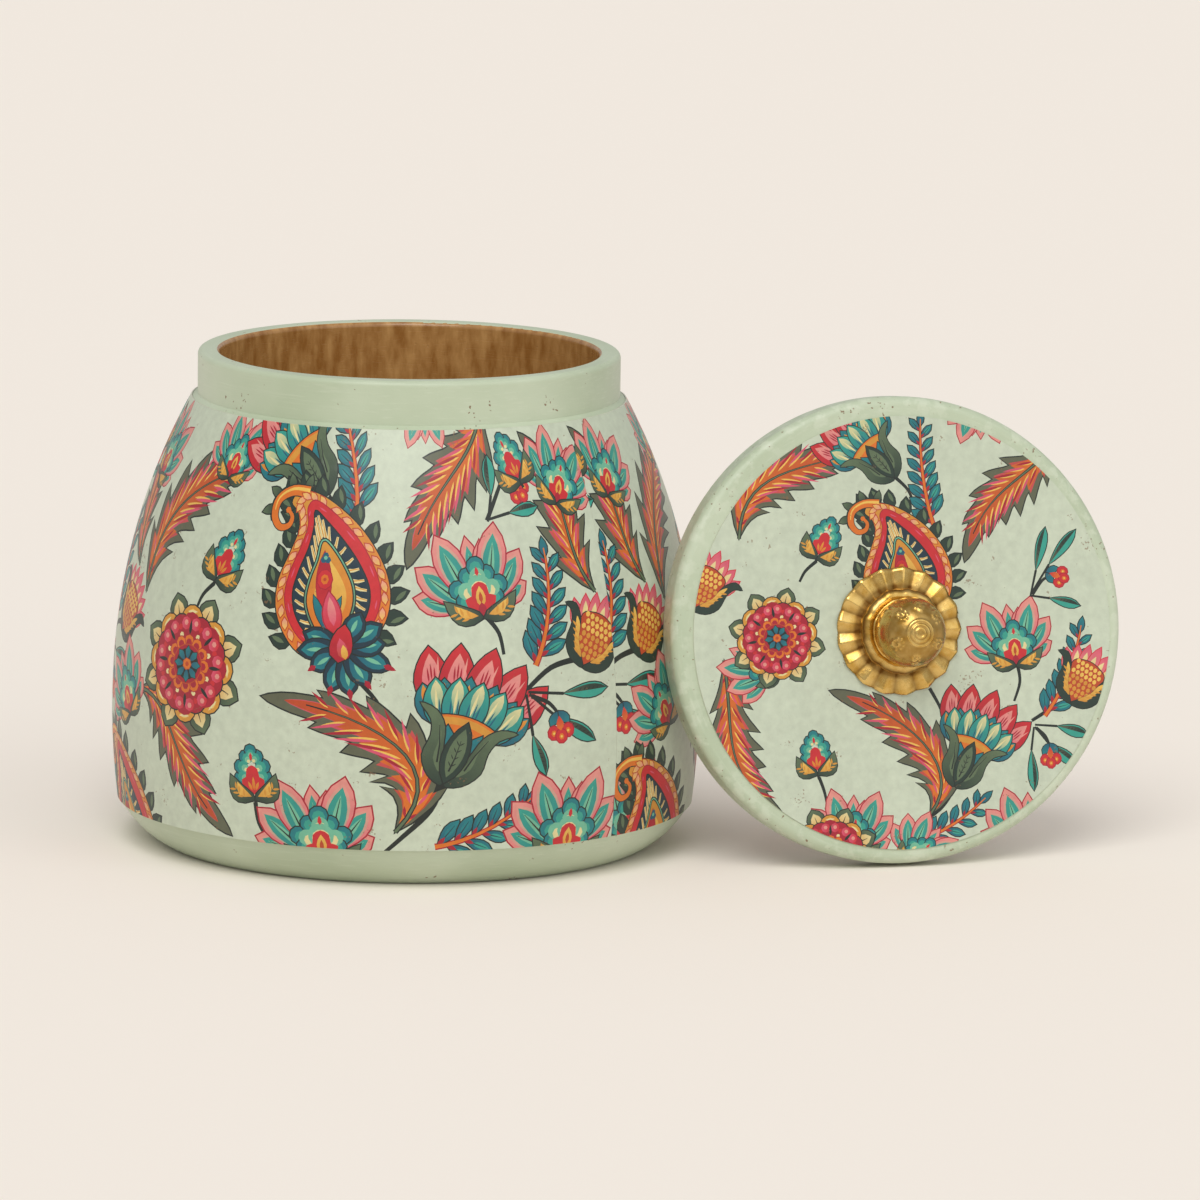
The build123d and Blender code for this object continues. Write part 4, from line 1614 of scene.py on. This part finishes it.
top_line = [(rose_radius - k * (rose_radius - SCREW_HOLE) / ROSE_STEPS,
             rose_low + ROSE_RIM + ROSE_DOME * math.sin(k / ROSE_STEPS * math.pi / 2))
            for k in range(ROSE_STEPS + 1)]
under_line = [(radius, rose_low + FOOT_LIFT) for radius in (SCREW_HOLE, 6.0, 9.5)]
rose_line = [*top_line, *under_line, (rose_radius, rose_low + 0.12)]
knob_rose = spun("rose", rose_line, ROSE_PLEATS * STEPS_IN_PLEAT, press_rose)

# %% [markdown]
# ## The collar
# The collar is rolled out to a round bead at its foot and nips in under the ball. The real one is
# a little lumpy, so its radius follows a few sine waves that never fall into step.

# %% The collar
ROLL_MIDDLE = 6.85
ROLL_RADIUS = 1.4
ROLL_LIFT = 1.45
ROLL_TURNS = [math.radians(25 + 16 * k) for k in range(12)]
COLLAR_STEPS = 120
NIP = 0.62
NIP_WIDTH = 0.12
cup_low, cup_high = (place / MM for place in reach_of("knob_cup"))
cup_tall = cup_high - cup_low


def press_cup(radius, angle, height):
    """Low lumps round the roll, which fade towards the screw."""
    lump = (0.09 * math.sin(7 * angle + 0.6) + 0.07 * math.sin(13 * angle + 2)
            + 0.05 * math.sin(23 * angle))
    share = clamp((radius - 5.5) / 2)
    rise = (height - cup_low) / cup_tall
    lifted = height + lump * 0.5 * share * rise
    # The second value is painted shade where the collar nips in under the ball.
    return (radius + (lump - 0.16) * share, lifted), gauss(rise - NIP, NIP_WIDTH)


roll = [(ROLL_MIDDLE + ROLL_RADIUS * math.sin(turn), cup_low + ROLL_LIFT - ROLL_RADIUS * math.cos(turn))
        for turn in ROLL_TURNS]
foot = [(SCREW_HOLE, cup_low + FOOT_LIFT), (6.4, cup_low + FOOT_LIFT)]
neck = [(5.9, cup_low + 0.66 * cup_tall), (6.1, cup_high - 0.7), (6.35, cup_high - 0.3),
        (6.2, cup_high - 0.08), (5.8, cup_high - 0.3), (SCREW_HOLE, cup_high - 0.9)]
knob_collar = spun("collar", [*foot, *roll, *neck], COLLAR_STEPS, press_cup)

# %% [markdown]
# ## The ball
# The ball's crown is stamped with three rings and a few small curls. The curls are spirals of
# points seen along the axis, and a place on the crown is raised by how near it is to one of them.

# %% Curls on the crown
# Each curl has the place of its middle, its size and the way it winds.
CURLS = ((-3.3 + 3.5j, 1.5, 1), (3.6 + 3.1j, 1.25, -1), (3.9 - 2.4j, 1.3, 1), (-4.2 - 1.9j, 1.25, -1),
         (0.5 + 4.9j, 0.9, 1), (-0.5 - 4.9j, 1.0, -1))
CURL_STEPS = 14


def curl_line(centre, size, way):
    """Points of one small spiral on the ball's crown, seen along its axis."""
    line = []
    for k in range(CURL_STEPS + 1):
        angle = way * k * 0.62 + 0.8
        line.append(centre + cmath.rect(size * (0.22 + 0.78 * k / CURL_STEPS), angle))
    return line


curl_lines = [curl_line(*curl) for curl in CURLS]
print(len(curl_lines), "curls of", len(curl_lines[0]), "points")

# %% The ball
BALL_RADIUS = 6.6
BALL_CLEARANCE = 0.25
BALL_RISE_STEPS = 90
BALL_ROUND_STEPS = 168
CROWN_RINGS = (0.85, 1.65, 2.45)
RING_WIDTH = 0.2
CURL_WIDTH = 0.24
CURL_REACH = 2.6
RELIEF = 0.32
SINK = 0.1
CARVED_RADIUS = 5.6
ball_middle = reach_of("knob_ball")[1] / MM - BALL_RADIUS - BALL_CLEARANCE


def relief_at(spot):
    """How far the stamped ornament stands out at a spot of the crown, from 0 to 1."""
    raised = max(gauss(abs(spot) - ring, RING_WIDTH) for ring in CROWN_RINGS)
    for line in curl_lines:
        if abs(spot - line[0]) < CURL_REACH:
            near = min(abs(spot - point) for point in line)
            raised = max(raised, 0.9 * gauss(near, CURL_WIDTH))
    return raised


def press_ball(radius, angle, height):
    """Relief on the upper half, which fades towards the ball's middle."""
    crown = clamp((height - ball_middle) / 2.5)
    raised = relief_at(cmath.rect(radius, angle)) if crown else 0
    far = math.hypot(radius, height - ball_middle)
    scale = 1 + (raised * RELIEF - SINK) * crown / far
    # Painted shade between the raised rings and curls, deeper inside the carved middle.
    hollow = (1 - raised) * crown * (0.55 if radius < CARVED_RADIUS else 0.2)
    return (radius * scale, ball_middle + (height - ball_middle) * scale), hollow


ball_turns = [math.pi * k / BALL_RISE_STEPS for k in range(1, BALL_RISE_STEPS)]
ball_side = [(BALL_RADIUS * math.sin(turn), ball_middle + BALL_RADIUS * math.cos(turn))
             for turn in ball_turns]
ball_line = [(0, ball_middle + BALL_RADIUS), *ball_side, (0, ball_middle - BALL_RADIUS)]
knob_dome = spun("ball", ball_line, BALL_ROUND_STEPS, press_ball, closed=False)

for piece, replaced in ((knob_rose, "knob_rose"), (knob_collar, "knob_cup"), (knob_dome, "knob_ball")):
    piece.data.materials.append(brass_finish)
    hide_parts(replaced)
    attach(piece, "lid")
